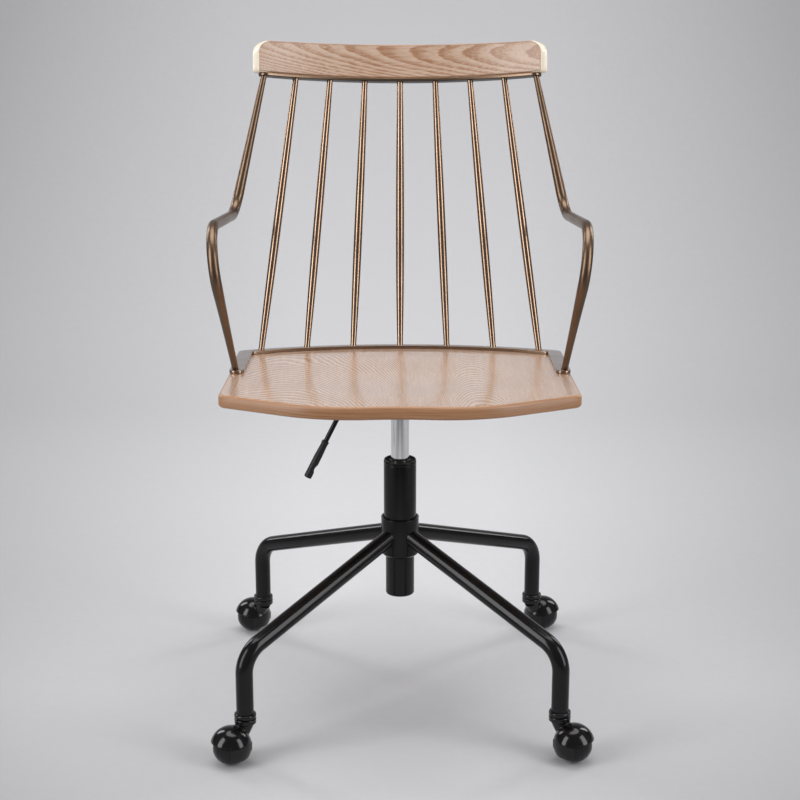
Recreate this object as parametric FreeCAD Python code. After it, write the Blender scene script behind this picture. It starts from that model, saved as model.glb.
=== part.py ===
import FreeCAD, Part
import math
import os

# Swivel armchair in the bankers style: limed oak seat and crest rail, a back of tapered metal
# spindles between them, bent tube arms, a gas lift and a four-legged base on hooded ball casters.
# Millimetres. +Z up, the sitter faces -Y, the origin is on the floor under the column.
# Left and right are as seen from the front, so left is -X.

Vector = FreeCAD.Vector
Rotation = FreeCAD.Rotation
Placement = FreeCAD.Placement
X_AXIS = Vector(1, 0, 0)
Y_AXIS = Vector(0, 1, 0)
Z_AXIS = Vector(0, 0, 1)
FAR = 2000.0                        # size of the blocks that only cut
bar_spare = 3.0                     # extra length at a bar's end before it is trimmed flush

# Clearances
shaft_gap = 0.05                    # radial, a shaft that turns or slides in its hole
face_gap = 0.4                      # between faces that turn past each other
screw_gap = 0.3                     # radial, a screw shank in a drilled hole
wheel_gap = 0.8                     # radial, hood over the rolling ball

# Seat board
seat_height = 516.0                 # top face above the floor, on the column axis, as stored
seat_pitch = 4.0                    # degrees, rear edge lower
seat_thickness = 19.0
seat_half_width = 259.0
seat_rear_reach = 241.0             # rear edge behind the column axis, at the middle
seat_rear_radius = 577.0            # the rear edge is one arc
seat_front_reach = 245.0            # crown of each front lobe ahead of the column axis
lobe_offset = 66.0                  # lobe crown from the middle
lobe_radius = 185.0
lobe_slope = 32.0                   # degrees, the straight run from a lobe to the corner
front_dip_radius = 300.0            # the shallow dip between the lobes
front_corner_radius = 20.0
rear_corner_radius = 18.0
seat_top_round = 4.5
seat_bottom_round = 2.5
dish_margin = 64.0                  # from the sitter's hollow in the top face to the seat's side
dish_depth = 3.5
dish_centre = -12.0                 # along Y

# Flat bar frame on the seat
bar_thickness = 5.5
bar_inset = 1.0                     # back from the edge of the seat
rail_width = 14.0
plate_width = 22.0                  # side leg of a corner plate
plate_rear_width = 18.0
plate_rear_reach = 49.8             # from the seat's side to where rail and plate meet, along X
plate_inner_radius = 6.0
foot_reach = 11.0                   # arm foot behind the column axis

# Back
recline = 10.4                      # degrees, back against the square of the seat
back_length = 428.5                 # frame bar to crest strap
crest_radius = 420.0                # middle line of the crest, seen from above
crest_set_back = 3.0                # middle of the crest behind the line of the spindles
strap_width = 23.0
strap_thickness = 5.0
crest_thickness = 21.0
crest_height = 54.5                 # at the middle
crest_fall = 4.5                    # how much lower the top edge is at its ends
crest_end_angle = 33.3              # degrees round the crest arc
strap_end_inset = 2.55              # degrees, from the crest's end to the centre of the strap's round end
crest_corner_radius = 16.0
crest_edge_round = 2.5

# Spindles
spindle_count = 7
spindle_foot_inset = 35.76          # outermost foot from the seat's side, along X
spindle_top_pitch = 7.87            # degrees round the crest arc
spindle_foot_radius = 4.6
spindle_belly_radius = 6.7
spindle_top_radius = 4.7
spindle_belly_share = 0.42          # of the length, from the foot

# Arms
arm_radius = 8.1                    # rest and bends
arm_top_radius = 4.6
arm_foot_radius = 4.9
arm_waist_radius = 6.0              # halfway down the front post
arm_foot_outset = 1.5               # outwards of the middle of its pad
arm_front_corner = Vector(30.0, -116.0, 222.5)  # from the arm's foot
arm_rear_corner = Vector(17.3, 211.0, 214.5)    # from the arm's foot
arm_front_bend = 60.0
arm_rear_bend = 40.0
arm_top_outset = 0.45               # degrees, outwards of the centre of the strap's round end

# Screws
crest_screw_angles = (-27.5, -3.9, 3.9, 27.5)
crest_screw_radius = 2.2
crest_screw_head_radius = 4.4
crest_screw_length = 26.0
crest_screw_slot = 1.0              # width and depth
frame_bolt_radius = 3.0
frame_bolt_head_radius = 6.0
frame_bolt_head_height = 3.5
frame_bolt_key_depth = 1.75
frame_bolt_recess_gap = 1.0         # radial, round the head
frame_bolt_bite = 4.5               # into the flat bar
frame_bolt_recess = 6.0             # counterbore under the seat
frame_bolt_side_places = (70.0, 150.0)
frame_bolt_rail_step = 1.5          # in spindle pitches from the middle

# Seat plate and taper socket
mount_plate_length = 184.0          # along X
mount_plate_width = 150.0           # along Y
mount_plate_thickness = 2.5
mount_plate_corner = 14.0
mount_screw_inset = 16.0            # from the plate's edges
mount_screw_radius = 3.0
mount_screw_head_radius = 6.5
mount_screw_head_height = 4.0
mount_screw_bite = 14.0             # into the seat
socket_wall = 5.0
socket_drop = 64.0                  # socket's lower end below the seat's top face
cheek_gap = 47.0                    # between the two cheeks of the lever bracket
cheek_thickness = 2.5
cheek_height = 24.0
cheek_front = -52.0                 # along X, outer end of the cheeks
cheek_back = 24.0

# Lever and release pin
lever_pivot_x = -32.0
lever_pivot_drop = 7.0              # pivot centre below the seat plate
lever_pivot_radius = 2.5
pivot_head_height = 1.5
pivot_head_step = 1.5               # head radius over the pin's
lever_radius = 3.7
lever_tongue_thickness = 4.0
lever_tongue_width = 10.0
lever_tongue_reach = 5.0            # past the column axis
lever_notch_side = 1.5              # socket's notch beside the tongue
lever_notch_under = 3.0             # socket's notch below the rod
lever_boss_wall = 2.2               # round the pivot hole
lever_boss_play = 2.0               # from the boss to each cheek
lever_elbow = Vector(-83.0, -14.0, -42.0)       # level axes, from the middle of the seat's top face
lever_elbow_bend = 14.0
lever_end = Vector(-140.0, -34.0, -152.0)
grip_length = 62.0
grip_radius = 5.9
grip_neck_radius = 5.0              # under the collar
grip_belly_reach = 37.0             # from the tip to where the grip is at its full width
grip_core = 26.0                    # solid end of the grip, past the rod
grip_tip_round = 2.0
grip_hollow_place = 17.0            # from the tip to the middle of the finger hollow
grip_hollow_depth = 2.0
grip_hollow_radius = 12.0
grip_collar_length = 5.0
grip_collar_radius = 5.5
pin_radius = 3.0
pin_dome_radius = 6.0
pin_play = 0.2                      # between the pin and the lever's tongue
pin_tail = 12.0                     # below the pressure tube's upper end

# Gas lift
lift_down = 60.0                    # travel below the stored height
lift_up = 20.0                      # travel above it
pressure_tube_radius = 14.0
pressure_tube_wall = 1.5
pressure_tube_roof = 20.0           # solid upper end
end_guide_step = 1.0                # bore narrower above the end guide
pressure_tube_drop = 32.0           # its upper end below the seat's top face
taper_angle = 1.43                  # degrees, half of the cone
tube_shown = 71.5                   # between the socket and the column
tube_inside = 121.5                 # length inside the column
end_guide_height = 14.0
rod_radius = 5.0
rod_neck_radius = 4.0
piston_height = 10.0
column_radius = 25.0
column_neck_in = 2.9                # how much narrower the column is below the hub
column_wall = 2.0
column_tail = 64.0                  # below the hub
column_floor = 3.0
column_foot_round = 3.0
bush_length = 64.0
bush_lip = 2.5
bush_lip_inset = 0.6                # lip narrower than the column
bush_lip_round = 1.2
race_radius = 14.0
race_thickness = 2.0
ball_radius = 2.0
ball_ring_radius = 10.0
ball_count = 12
bumper_height = 14.0
bumper_radius = 13.0
clip_thickness = 1.2
clip_radius = 7.5
clip_mouth = 3.2
clip_groove_depth = 1.0
rod_tail = 5.0                      # rod end below the column

# Base
hub_wall = 4.0                      # round the column
hub_top = 291.0
hub_height = 62.0
hub_chamfer = 4.0
hub_top_round = 1.0
leg_count = 4
base_turn = 1.0                     # degrees, how far the base is turned under the seat
leg_radius = 12.7
leg_wall = 1.6
leg_reach = 322.5                   # column axis to caster stem
leg_slope = 18.6                    # degrees
leg_hub_drop = 21.5                 # below the hub's top, leg's middle line carried on to the column axis
leg_bend = 42.0

# Casters
stem_flange_radius = 16.0
stem_flange_height = 7.0
stem_flange_round = 2.4
stem_sleeve_length = 30.0
stem_radius = 5.0
stem_length = 46.0
stem_top_inset = 4.0                # stem's upper end below the sleeve's
leg_end_rise = 44.0                 # leg's lower end above the ball's centre
ball_wheel_radius = 27.0
wheel_outer_cut = 2.0               # depth of the flat on the outer side
wheel_inner_cut = 8.5               # depth of the flat on the axle side
wheel_pocket_depth = 26.0
wheel_hub_radius = 9.0
wheel_rim_wall = 6.0
hood_thickness = 2.5
hood_lip_rise = 8.5                 # lower edge of the hood above the ball's centre
cheek_edge = 3.0                    # ball centre to the hood's side cheek
hood_cheek_drop = 15.0              # lower edge of the cheek below the ball's centre
caster_side_step = 20.0             # ball to the side of the stem
caster_trail = 18.0                 # ball ahead of or behind the stem
caster_ring_height = 8.0
neck_top_radius = 13.0
neck_foot_radius = 12.0
axle_radius = 4.0
axle_boss_radius = 6.5
axle_boss_stand = 1.2               # boss proud of the hood
axle_boss_cover = 1.0               # axle's end inside the boss
axle_outer_inset = 8.0              # axle's other end inside the wheel's outer face

# Worked out from the sizes above
seat_place = Placement(Vector(0, 0, seat_height), Rotation(X_AXIS, -seat_pitch))
rear_arc_centre = seat_rear_reach - seat_rear_radius
rail_outer_radius = seat_rear_radius - bar_inset
rail_middle_radius = rail_outer_radius - rail_width / 2
back_origin = Vector(0, rear_arc_centre + rail_middle_radius, bar_thickness)
back_place = Placement(back_origin, Rotation(X_AXIS, -recline))
crest_arc_centre = crest_set_back - crest_radius
spindle_side = (spindle_count - 1) // 2
spindle_outer_x = seat_half_width - spindle_foot_inset
spindle_foot_pitch = math.degrees(math.asin(spindle_outer_x / rail_middle_radius)) / spindle_side
plate_split_angle = math.degrees(math.asin((seat_half_width - plate_rear_reach) / rail_outer_radius))
dish_radius = seat_half_width - dish_margin
strap_end_angle = crest_end_angle - strap_end_inset
arm_top_angle = strap_end_angle + arm_top_outset
plate_under = seat_thickness + mount_plate_thickness
mount_screw_x = mount_plate_length / 2 - mount_screw_inset
mount_screw_y = mount_plate_width / 2 - mount_screw_inset
socket_radius = pressure_tube_radius + socket_wall
socket_bottom = seat_height - socket_drop
socket_taper_step = math.tan(math.radians(taper_angle))
pressure_tube_top = seat_height - pressure_tube_drop
column_top = socket_bottom - tube_shown
pressure_tube_bottom = column_top - tube_inside
hub_bottom = hub_top - hub_height
hub_radius = column_radius + hub_wall
column_bottom = hub_bottom - column_tail
column_foot_radius = column_radius - column_neck_in
leg_hub_height = hub_top - leg_hub_drop
leg_end_height = ball_wheel_radius + leg_end_rise
wheel_outer_face = ball_wheel_radius - wheel_outer_cut
wheel_inner_face = ball_wheel_radius - wheel_inner_cut
caster_ring_top = leg_end_height - stem_flange_height - face_gap
hood_radius = ball_wheel_radius + wheel_gap + hood_thickness


def along(radius, degrees, centre_y, height=0.0):
    """Point on an arc seen from above; 0 degrees is straight behind the arc's centre."""
    turn = math.radians(degrees)
    return Vector(radius * math.sin(turn), centre_y + radius * math.cos(turn), height)


def box(low, high):
    size = high - low
    return Part.makeBox(size.x, size.y, size.z, low)


def rod_between(start, end, start_radius, end_radius=None):
    """Straight round bar, or a cone where the two radii differ."""
    axis = end - start
    if end_radius is None or abs(end_radius - start_radius) < 1e-6:
        return Part.makeCylinder(start_radius, axis.Length, start, axis)
    return Part.makeCone(start_radius, end_radius, axis.Length, start, axis)


def ring(outer, inner, low, high):
    wall = Part.makeCylinder(outer, high - low, Vector(0, 0, low))
    return wall.cut(Part.makeCylinder(inner, high - low + 2, Vector(0, 0, low - 1)))


def turned(outline):
    """Solid of revolution about Z from (radius, height) points."""
    points = [Vector(r, 0, z) for r, z in outline]
    points.append(points[0])
    return Part.Face(Part.makePolygon(points)).revolve(Vector(0, 0, 0), Z_AXIS, 360)


def bellied_bar(start, end, start_radius, middle_radius, end_radius, share=0.5, tangent=True):
    """Round bar whose outline is two arcs that meet level at the belly, or one flowing curve."""
    length = (end - start).Length
    belly = share * length
    foot = Vector(start_radius, 0, 0)
    waist = Vector(middle_radius, 0, belly)
    tip = Vector(end_radius, 0, length)
    if tangent:
        curves = [level_arc(foot, waist), level_arc(waist, tip)]
    else:
        flowing = Part.BSplineCurve()
        flowing.interpolate([foot, waist, tip])
        curves = [flowing.toShape()]
    edges = [Part.makeLine(Vector(0, 0, 0), foot)] + curves
    edges += [Part.makeLine(tip, Vector(0, 0, length)), Part.makeLine(Vector(0, 0, length), Vector(0, 0, 0))]
    bar = Part.Face(Part.Wire(edges)).revolve(Vector(0, 0, 0), Z_AXIS, 360)
    bar.Placement = Placement(start, Rotation(Z_AXIS, end - start))
    return bar


def level_arc(start, end):
    """Arc between two outline points that runs level at the thicker one."""
    level, other = (start, end) if start.x > end.x else (end, start)
    drop = level.x - other.x
    run = abs(level.z - other.z)
    radius = (run ** 2 + drop ** 2) / (2 * drop)
    turn = math.asin(run / radius) / 2
    side = 1 if other.z > level.z else -1
    middle = Vector(level.x - radius * (1 - math.cos(turn)), 0, level.z + side * radius * math.sin(turn))
    return Part.Arc(start, middle, end).toShape()


def bend_between(before, corner, after, bend_radius):
    """Start, end and centre of the arc that rounds a corner, and the axis it turns about."""
    to_before = (before - corner).normalize()
    to_after = (after - corner).normalize()
    half = to_before.getAngle(to_after) / 2
    reach = bend_radius / math.tan(half)
    centre = corner + (to_before + to_after).normalize() * (bend_radius / math.sin(half))
    start = corner + to_before * reach
    end = corner + to_after * reach
    axis = (start - centre).cross(end - centre)
    return start, end, centre, axis


def bent_run(start, end, centre, axis, tube_radius):
    """Round bar along an arc."""
    turn = math.degrees((start - centre).getAngle(end - centre))
    heading = axis.cross(start - centre)
    disc = Part.Face(Part.Wire(Part.makeCircle(tube_radius, start, heading)))
    return disc.revolve(centre, axis, turn)


def arc_band(inner, outer, centre_y, low_angle, high_angle, thickness, height=0.0):
    """Flat bar bent edgeways: a piece of a ring with square ends."""
    middle_angle = (low_angle + high_angle) / 2
    corners = [along(r, a, centre_y, height) for r, a in
               ((outer, low_angle), (outer, high_angle), (inner, high_angle), (inner, low_angle))]
    outer_arc = Part.Arc(corners[0], along(outer, middle_angle, centre_y, height), corners[1]).toShape()
    inner_arc = Part.Arc(corners[2], along(inner, middle_angle, centre_y, height), corners[3]).toShape()
    ends = [Part.makeLine(corners[1], corners[2]), Part.makeLine(corners[3], corners[0])]
    wire = Part.Wire([outer_arc, ends[0], inner_arc, ends[1]])
    return Part.Face(wire).extrude(Vector(0, 0, thickness))


def upright_edges(shape, wanted):
    """The edges along Z whose middle passes a test."""
    found = []
    for edge in shape.Edges:
        first, last = edge.Vertexes[0].Point, edge.Vertexes[-1].Point
        if abs(first.x - last.x) < 1e-4 and abs(first.y - last.y) < 1e-4 and wanted((first + last) * 0.5):
            found.append(edge)
    return found


def level_edges(shape, height):
    """The edges that lie in one level plane."""
    return [edge for edge in shape.Edges
            if abs(edge.BoundBox.ZMin - height) < 1e-4 and abs(edge.BoundBox.ZMax - height) < 1e-4]


def seat_block(inset, low, high):
    """The seat's outline, inset all round, between two heights, with round corners."""
    half_width = seat_half_width - inset
    crown_y = -seat_front_reach + inset + lobe_radius
    slope = math.radians(lobe_slope)
    dip_y = crown_y - math.sqrt((lobe_radius + front_dip_radius) ** 2 - lobe_offset ** 2)
    crown = Vector(lobe_offset, crown_y, low)
    share = lobe_radius / (lobe_radius + front_dip_radius)
    dip_end = crown + (Vector(0, dip_y, low) - crown) * share
    dip_middle = Vector(0, dip_y + front_dip_radius, low)
    lobe_end = crown + Vector(math.sin(slope), -math.cos(slope), 0) * lobe_radius
    corner = Vector(half_width, lobe_end.y + (half_width - lobe_end.x) * math.tan(slope), low)
    rear_radius = seat_rear_radius - inset
    rear_y = rear_arc_centre + math.sqrt(rear_radius ** 2 - half_width ** 2)
    rear = Vector(half_width, rear_y, low)
    lobe_middle = crown + Vector(0, -lobe_radius, 0)

    def mirrored(point):
        return Vector(-point.x, point.y, point.z)

    edges = [
        Part.Arc(mirrored(dip_end), dip_middle, dip_end).toShape(),
        Part.Arc(dip_end, lobe_middle, lobe_end).toShape(),
        Part.makeLine(lobe_end, corner),
        Part.makeLine(corner, rear),
        Part.Arc(rear, Vector(0, rear_arc_centre + rear_radius, low), mirrored(rear)).toShape(),
        Part.makeLine(mirrored(rear), mirrored(corner)),
        Part.makeLine(mirrored(corner), mirrored(lobe_end)),
        Part.Arc(mirrored(lobe_end), mirrored(lobe_middle), mirrored(dip_end)).toShape(),
    ]
    block = Part.Face(Part.Wire(edges)).extrude(Vector(0, 0, high - low))
    front = upright_edges(block, lambda p: abs(abs(p.x) - half_width) < 0.01 and p.y < 0)
    rear = upright_edges(block, lambda p: abs(abs(p.x) - half_width) < 0.01 and p.y > 0)
    block = block.makeFillet(front_corner_radius - inset, front)
    rear = upright_edges(block, lambda p: abs(abs(p.x) - half_width) < 0.01 and p.y > rear_y - 1)
    return block.makeFillet(rear_corner_radius - inset, rear)


def frame_bolt_places():
    """Where the bolts under the seat stand: along both corner plates and under the rear rail."""
    side_x = seat_half_width - bar_inset - plate_width / 2
    places = [Vector(side * side_x, y, 0) for side in (-1, 1) for y in frame_bolt_side_places]
    rail_angle = frame_bolt_rail_step * spindle_foot_pitch
    places += [along(rail_middle_radius, side * rail_angle, rear_arc_centre) for side in (-1, 1)]
    return places


def mount_screw_places():
    return [Vector(x, y, 0) for x in (-mount_screw_x, mount_screw_x) for y in (-mount_screw_y, mount_screw_y)]


def seat():
    board = seat_block(0.0, -seat_thickness, 0.0)
    board = board.makeFillet(seat_top_round, level_edges(board, 0.0))
    board = board.makeFillet(seat_bottom_round, level_edges(board, -seat_thickness))
    dish_curve = (dish_radius ** 2 + dish_depth ** 2) / (2 * dish_depth)
    board = board.cut(Part.makeSphere(dish_curve, Vector(0, dish_centre, dish_curve - dish_depth)))
    for place in frame_bolt_places():
        floor = place - Vector(0, 0, seat_thickness)
        board = board.cut(rod_between(floor, place, frame_bolt_radius + screw_gap))
        recess_top = floor + Vector(0, 0, frame_bolt_recess)
        board = board.cut(rod_between(floor, recess_top, frame_bolt_head_radius + frame_bolt_recess_gap))
    for place in mount_screw_places():
        floor = place - Vector(0, 0, seat_thickness)
        board = board.cut(rod_between(floor, floor + Vector(0, 0, mount_screw_bite), mount_screw_radius))
    return board


def rear_rail():
    inner = rail_outer_radius - rail_width
    rail = arc_band(inner, rail_outer_radius, rear_arc_centre, -plate_split_angle, plate_split_angle,
                    bar_thickness)
    return rail.cut(frame_bolt_threads())


def corner_plate(side):
    """Flat bar that turns the rear corner and ends in a round pad under the arm's foot."""
    outline = seat_block(bar_inset, 0.0, bar_thickness)
    inner_x = seat_half_width - bar_inset - plate_width
    pad_x = inner_x + plate_width / 2
    strip = box(Vector(inner_x, foot_reach, -1), Vector(FAR, FAR, bar_thickness + 1))
    pad = rod_between(Vector(pad_x, foot_reach, 0), Vector(pad_x, foot_reach, bar_thickness), plate_width / 2)
    band = arc_band(rail_outer_radius - plate_rear_width, rail_outer_radius + plate_width, rear_arc_centre,
                    plate_split_angle, 2 * plate_split_angle, bar_thickness)
    plate = outline.common(strip.fuse(band)).fuse(pad).removeSplitter()
    inner = upright_edges(plate, lambda p: abs(p.x - inner_x) < 0.01 and p.y > foot_reach + plate_width)
    plate = plate.makeFillet(plate_inner_radius, inner)
    if side < 0:
        plate = plate.mirror(Vector(0, 0, 0), X_AXIS)
    return plate.cut(frame_bolt_threads())


def frame_bolt_threads():
    depth = Vector(0, 0, frame_bolt_bite)
    holes = [rod_between(place, place + depth, frame_bolt_radius) for place in frame_bolt_places()]
    return Part.makeCompound(holes)


def frame_bolts():
    """Cap screws from under the seat, up into the flat bar frame."""
    bolts = []
    for place in frame_bolt_places():
        head_top = place + Vector(0, 0, frame_bolt_recess - seat_thickness)
        head_bottom = head_top - Vector(0, 0, frame_bolt_head_height)
        shank = rod_between(head_top, place + Vector(0, 0, frame_bolt_bite), frame_bolt_radius)
        key_top = head_bottom + Vector(0, 0, frame_bolt_key_depth)
        key = rod_between(head_bottom, key_top, frame_bolt_radius)
        bolts.append(rod_between(head_bottom, head_top, frame_bolt_head_radius).fuse(shank).cut(key))
    return bolts


def spindle(step):
    """Tapered bar from the frame to the crest strap, fullest below its middle."""
    foot = along(rail_middle_radius, step * spindle_foot_pitch, rear_arc_centre, bar_thickness)
    top = back_place.multVec(along(crest_radius, step * spindle_top_pitch, crest_arc_centre, back_length))
    spare = (top - foot).normalize() * bar_spare
    bar = bellied_bar(foot - spare, top + spare, spindle_foot_radius, spindle_belly_radius,
                      spindle_top_radius, spindle_belly_share)
    return bar.cut(under_frame()).cut(over_strap())


def under_frame():
    return box(Vector(-FAR, -FAR, -FAR), Vector(FAR, FAR, bar_thickness))


def over_strap():
    block = box(Vector(-FAR, -FAR, back_length), Vector(FAR, FAR, FAR))
    block.Placement = back_place
    return block


def arm(side):
    """One bent bar: crest end, rear post, rest, front post and foot, thin at both ends."""
    foot_x = seat_half_width - bar_inset - plate_width / 2 + arm_foot_outset
    foot = Vector(foot_x, foot_reach, bar_thickness)
    front, rear = foot + arm_front_corner, foot + arm_rear_corner
    top = back_place.multVec(along(crest_radius, arm_top_angle, crest_arc_centre, back_length))
    front_start, front_end, front_centre, front_axis = bend_between(foot, front, rear, arm_front_bend)
    rear_start, rear_end, rear_centre, rear_axis = bend_between(front, rear, top, arm_rear_bend)
    foot_spare = (foot - front).normalize() * bar_spare
    top_spare = (top - rear).normalize() * bar_spare
    post = bellied_bar(foot + foot_spare, front_start, arm_foot_radius, arm_waist_radius, arm_radius,
                       tangent=False)
    pieces = [
        bent_run(front_start, front_end, front_centre, front_axis, arm_radius),
        rod_between(front_end, rear_start, arm_radius),
        bent_run(rear_start, rear_end, rear_centre, rear_axis, arm_radius),
        rod_between(rear_end, top + top_spare, arm_radius, arm_top_radius),
    ]
    whole = post.multiFuse(pieces).removeSplitter().cut(under_frame()).cut(over_strap())
    if side < 0:
        whole = whole.mirror(Vector(0, 0, 0), X_AXIS)
    return whole


def crest_screw_spots():
    return [along(crest_radius, angle, crest_arc_centre) for angle in crest_screw_angles]


def crest_screw(spot, slack=0.0):
    """Countersunk screw up through the strap into the crest; slack widens it to make its hole."""
    sink = crest_screw_head_radius - crest_screw_radius
    start = spot + Vector(0, 0, back_length)
    head = Part.makeCone(crest_screw_head_radius + slack, crest_screw_radius + slack, sink, start)
    shank = Part.makeCylinder(crest_screw_radius + slack, crest_screw_length - sink, start + Vector(0, 0, sink))
    return head.fuse(shank)


def crest_screws():
    slot = box(Vector(-crest_screw_head_radius, -crest_screw_slot / 2, back_length - crest_screw_slot),
               Vector(crest_screw_head_radius, crest_screw_slot / 2, back_length + crest_screw_slot))
    return [crest_screw(spot).cut(slot.translated(spot)) for spot in crest_screw_spots()]


def crest_strap():
    inner = crest_radius - strap_width / 2
    band = arc_band(inner, inner + strap_width, crest_arc_centre, -strap_end_angle, strap_end_angle,
                    strap_thickness, back_length)
    for side in (-1, 1):
        end = along(crest_radius, side * strap_end_angle, crest_arc_centre, back_length)
        band = band.fuse(Part.makeCylinder(strap_width / 2, strap_thickness, end))
    band = band.removeSplitter()
    for spot in crest_screw_spots():
        band = band.cut(crest_screw(spot, shaft_gap))
    return band


def crest_rail():
    """Curved oak rail, its top edge crowned and its upper corners round."""
    inner = crest_radius - crest_thickness / 2
    low = back_length + strap_thickness
    top = low + crest_height
    rail = arc_band(inner, inner + crest_thickness, crest_arc_centre, -crest_end_angle, crest_end_angle,
                    crest_height, low)
    half_length = crest_radius * math.sin(math.radians(crest_end_angle))
    crown = (half_length ** 2 + crest_fall ** 2) / (2 * crest_fall)
    crown_axis = Vector(0, -FAR, top - crown)
    rail = rail.common(Part.makeCylinder(crown, 2 * FAR, crown_axis, Y_AXIS))
    rail = rail.makeFillet(crest_corner_radius, [edge for edge in rail.Edges if upper_end(edge, top)])
    sharp = [edge for edge in rail.Edges if edge.BoundBox.ZMax > low + 1e-3 and not across_bar(edge)]
    rail = rail.makeFillet(crest_edge_round, sharp)
    for spot in crest_screw_spots():
        rail = rail.cut(crest_screw(spot))
    return rail


def upper_end(edge, top):
    """True for the two edges where the crest's top meets its ends."""
    middle = edge.valueAt((edge.FirstParameter + edge.LastParameter) / 2)
    short = abs(edge.Length - crest_thickness) < 1
    return short and middle.z > top - 2 * crest_fall


def across_bar(edge):
    """True for the edges that cross the crest from face to face where its corners start to round."""
    return abs(edge.Length - crest_thickness) < 1


def mount_plate():
    """Pressed steel plate under the seat."""
    half_x, half_y = mount_plate_length / 2, mount_plate_width / 2
    plate = box(Vector(-half_x, -half_y, -plate_under), Vector(half_x, half_y, -seat_thickness))
    plate = plate.makeFillet(mount_plate_corner, upright_edges(plate, lambda p: True))
    for place in mount_screw_places():
        low = place - Vector(0, 0, plate_under + 1)
        plate = plate.cut(rod_between(low, place, mount_screw_radius + screw_gap))
    return plate


def mount_screws():
    screws = []
    for place in mount_screw_places():
        under = place - Vector(0, 0, plate_under)
        head = Part.makeCylinder(mount_screw_head_radius, mount_screw_head_height,
                                 under - Vector(0, 0, mount_screw_head_height))
        tip = place + Vector(0, 0, mount_screw_bite - seat_thickness)
        screws.append(head.fuse(rod_between(under, tip, mount_screw_radius)))
    return screws


def under_mount_plate():
    """Everything below the seat plate's lower face, in the seat's own frame."""
    return box(Vector(-FAR, -FAR, -FAR), Vector(FAR, FAR, -plate_under))


def taper_socket():
    """Upright tube welded under the pitched plate, bored to the lift's cone, notched for the lever."""
    blank = Part.makeCylinder(socket_radius, FAR, Vector(0, 0, socket_bottom))
    below = under_mount_plate()
    below.Placement = seat_place
    bottom_radius = pressure_tube_radius
    length = FAR / 10
    bore = Part.makeCone(bottom_radius, bottom_radius - length * socket_taper_step, length,
                         Vector(0, 0, socket_bottom))
    notch_half = lever_tongue_width / 2 + lever_notch_side
    notch_low = pivot_height() - lever_radius - lever_notch_under
    notch = box(Vector(-FAR, -notch_half, notch_low), Vector(0, notch_half, 0))
    notch.Placement = seat_place
    return blank.common(below).cut(bore).cut(notch)


def lever_bracket():
    """Two cheeks under the plate, either side of the socket, that carry the lever's pivot pin."""
    cheeks = []
    for side in (-1, 1):
        near = side * cheek_gap / 2
        far = side * (cheek_gap / 2 + cheek_thickness)
        low_y, high_y = min(near, far), max(near, far)
        cheek = box(Vector(cheek_front, low_y, -plate_under - cheek_height),
                    Vector(cheek_back, high_y, -plate_under))
        hole = rod_between(Vector(lever_pivot_x, low_y - 1, pivot_height()),
                           Vector(lever_pivot_x, high_y + 1, pivot_height()), lever_pivot_radius)
        cheeks.append(cheek.cut(hole))
    return cheeks


def pivot_height():
    return -plate_under - lever_pivot_drop


def lever_pivot_pin():
    reach = cheek_gap / 2 + cheek_thickness
    pivot = Vector(lever_pivot_x, 0, pivot_height())
    pin = rod_between(pivot - Y_AXIS * reach, pivot + Y_AXIS * reach, lever_pivot_radius)
    for side in (-1, 1):
        start = pivot + Y_AXIS * side * reach
        end = start + Vector(0, side * pivot_head_height, 0)
        pin = pin.fuse(rod_between(start, end, lever_pivot_radius + pivot_head_step))
    return pin


def lever_route():
    """Pivot, elbow and outer end of the lever, in the seat's own frame."""
    level = seat_place.Rotation.inverted()
    return Vector(lever_pivot_x, 0, pivot_height()), level.multVec(lever_elbow), level.multVec(lever_end)


def lever_rod():
    """Round rod with a flat tongue over the release pin, hinged on the pivot pin, bent down outside."""
    pivot, elbow, end = lever_route()
    start, finish, centre, axis = bend_between(pivot, elbow, end, lever_elbow_bend)
    tip = end + (elbow - end).normalize() * grip_core
    boss_half = Y_AXIS * (cheek_gap / 2 - lever_boss_play)
    boss = rod_between(pivot - boss_half, pivot + boss_half, lever_pivot_radius + lever_boss_wall)
    tongue = box(Vector(lever_pivot_x, -lever_tongue_width / 2, tongue_under()),
                 Vector(lever_tongue_reach, lever_tongue_width / 2, tongue_under() + lever_tongue_thickness))
    pieces = [bent_run(start, finish, centre, axis, lever_radius), rod_between(finish, tip, lever_radius),
              boss, tongue]
    lever = rod_between(pivot, start, lever_radius).multiFuse(pieces).removeSplitter()
    hole = rod_between(pivot - Vector(0, FAR, 0), pivot + Vector(0, FAR, 0), lever_pivot_radius + shaft_gap)
    return lever.cut(hole)


def tongue_under():
    """Height of the tongue's lower face, in the seat's own frame."""
    return -plate_under - face_gap * 2 - lever_tongue_thickness


def lever_grip():
    """Moulded grip over the end of the rod: collar, swelling barrel and a hollow for the finger."""
    _, elbow, end = lever_route()
    inward = (elbow - end).normalize()
    belly = end + inward * grip_belly_reach
    collar = end + inward * (grip_length - grip_collar_length)
    top = end + inward * grip_length
    barrel = rod_between(end, belly, grip_radius)
    rim = [edge for edge in barrel.Edges if (edge.CenterOfMass - end).Length < 1e-3]
    barrel = barrel.makeFillet(grip_tip_round, rim)
    grip = barrel.fuse(rod_between(belly, collar, grip_radius, grip_neck_radius))
    grip = grip.fuse(rod_between(collar, top, grip_collar_radius)).removeSplitter()
    under = (X_AXIS - inward * X_AXIS.dot(inward)).normalize()
    across = under.cross(inward) * grip_length
    middle = end + inward * grip_hollow_place + under * (grip_radius - grip_hollow_depth + grip_hollow_radius)
    grip = grip.cut(rod_between(middle - across, middle + across, grip_hollow_radius))
    return grip.cut(rod_between(end + inward * grip_core, top + inward, lever_radius))


def tongue_height_at_axis():
    """Height of the tongue's lower face on the column axis, in the chair's frame."""
    pitch = math.radians(seat_pitch)
    return seat_height + tongue_under() / math.cos(pitch)


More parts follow.
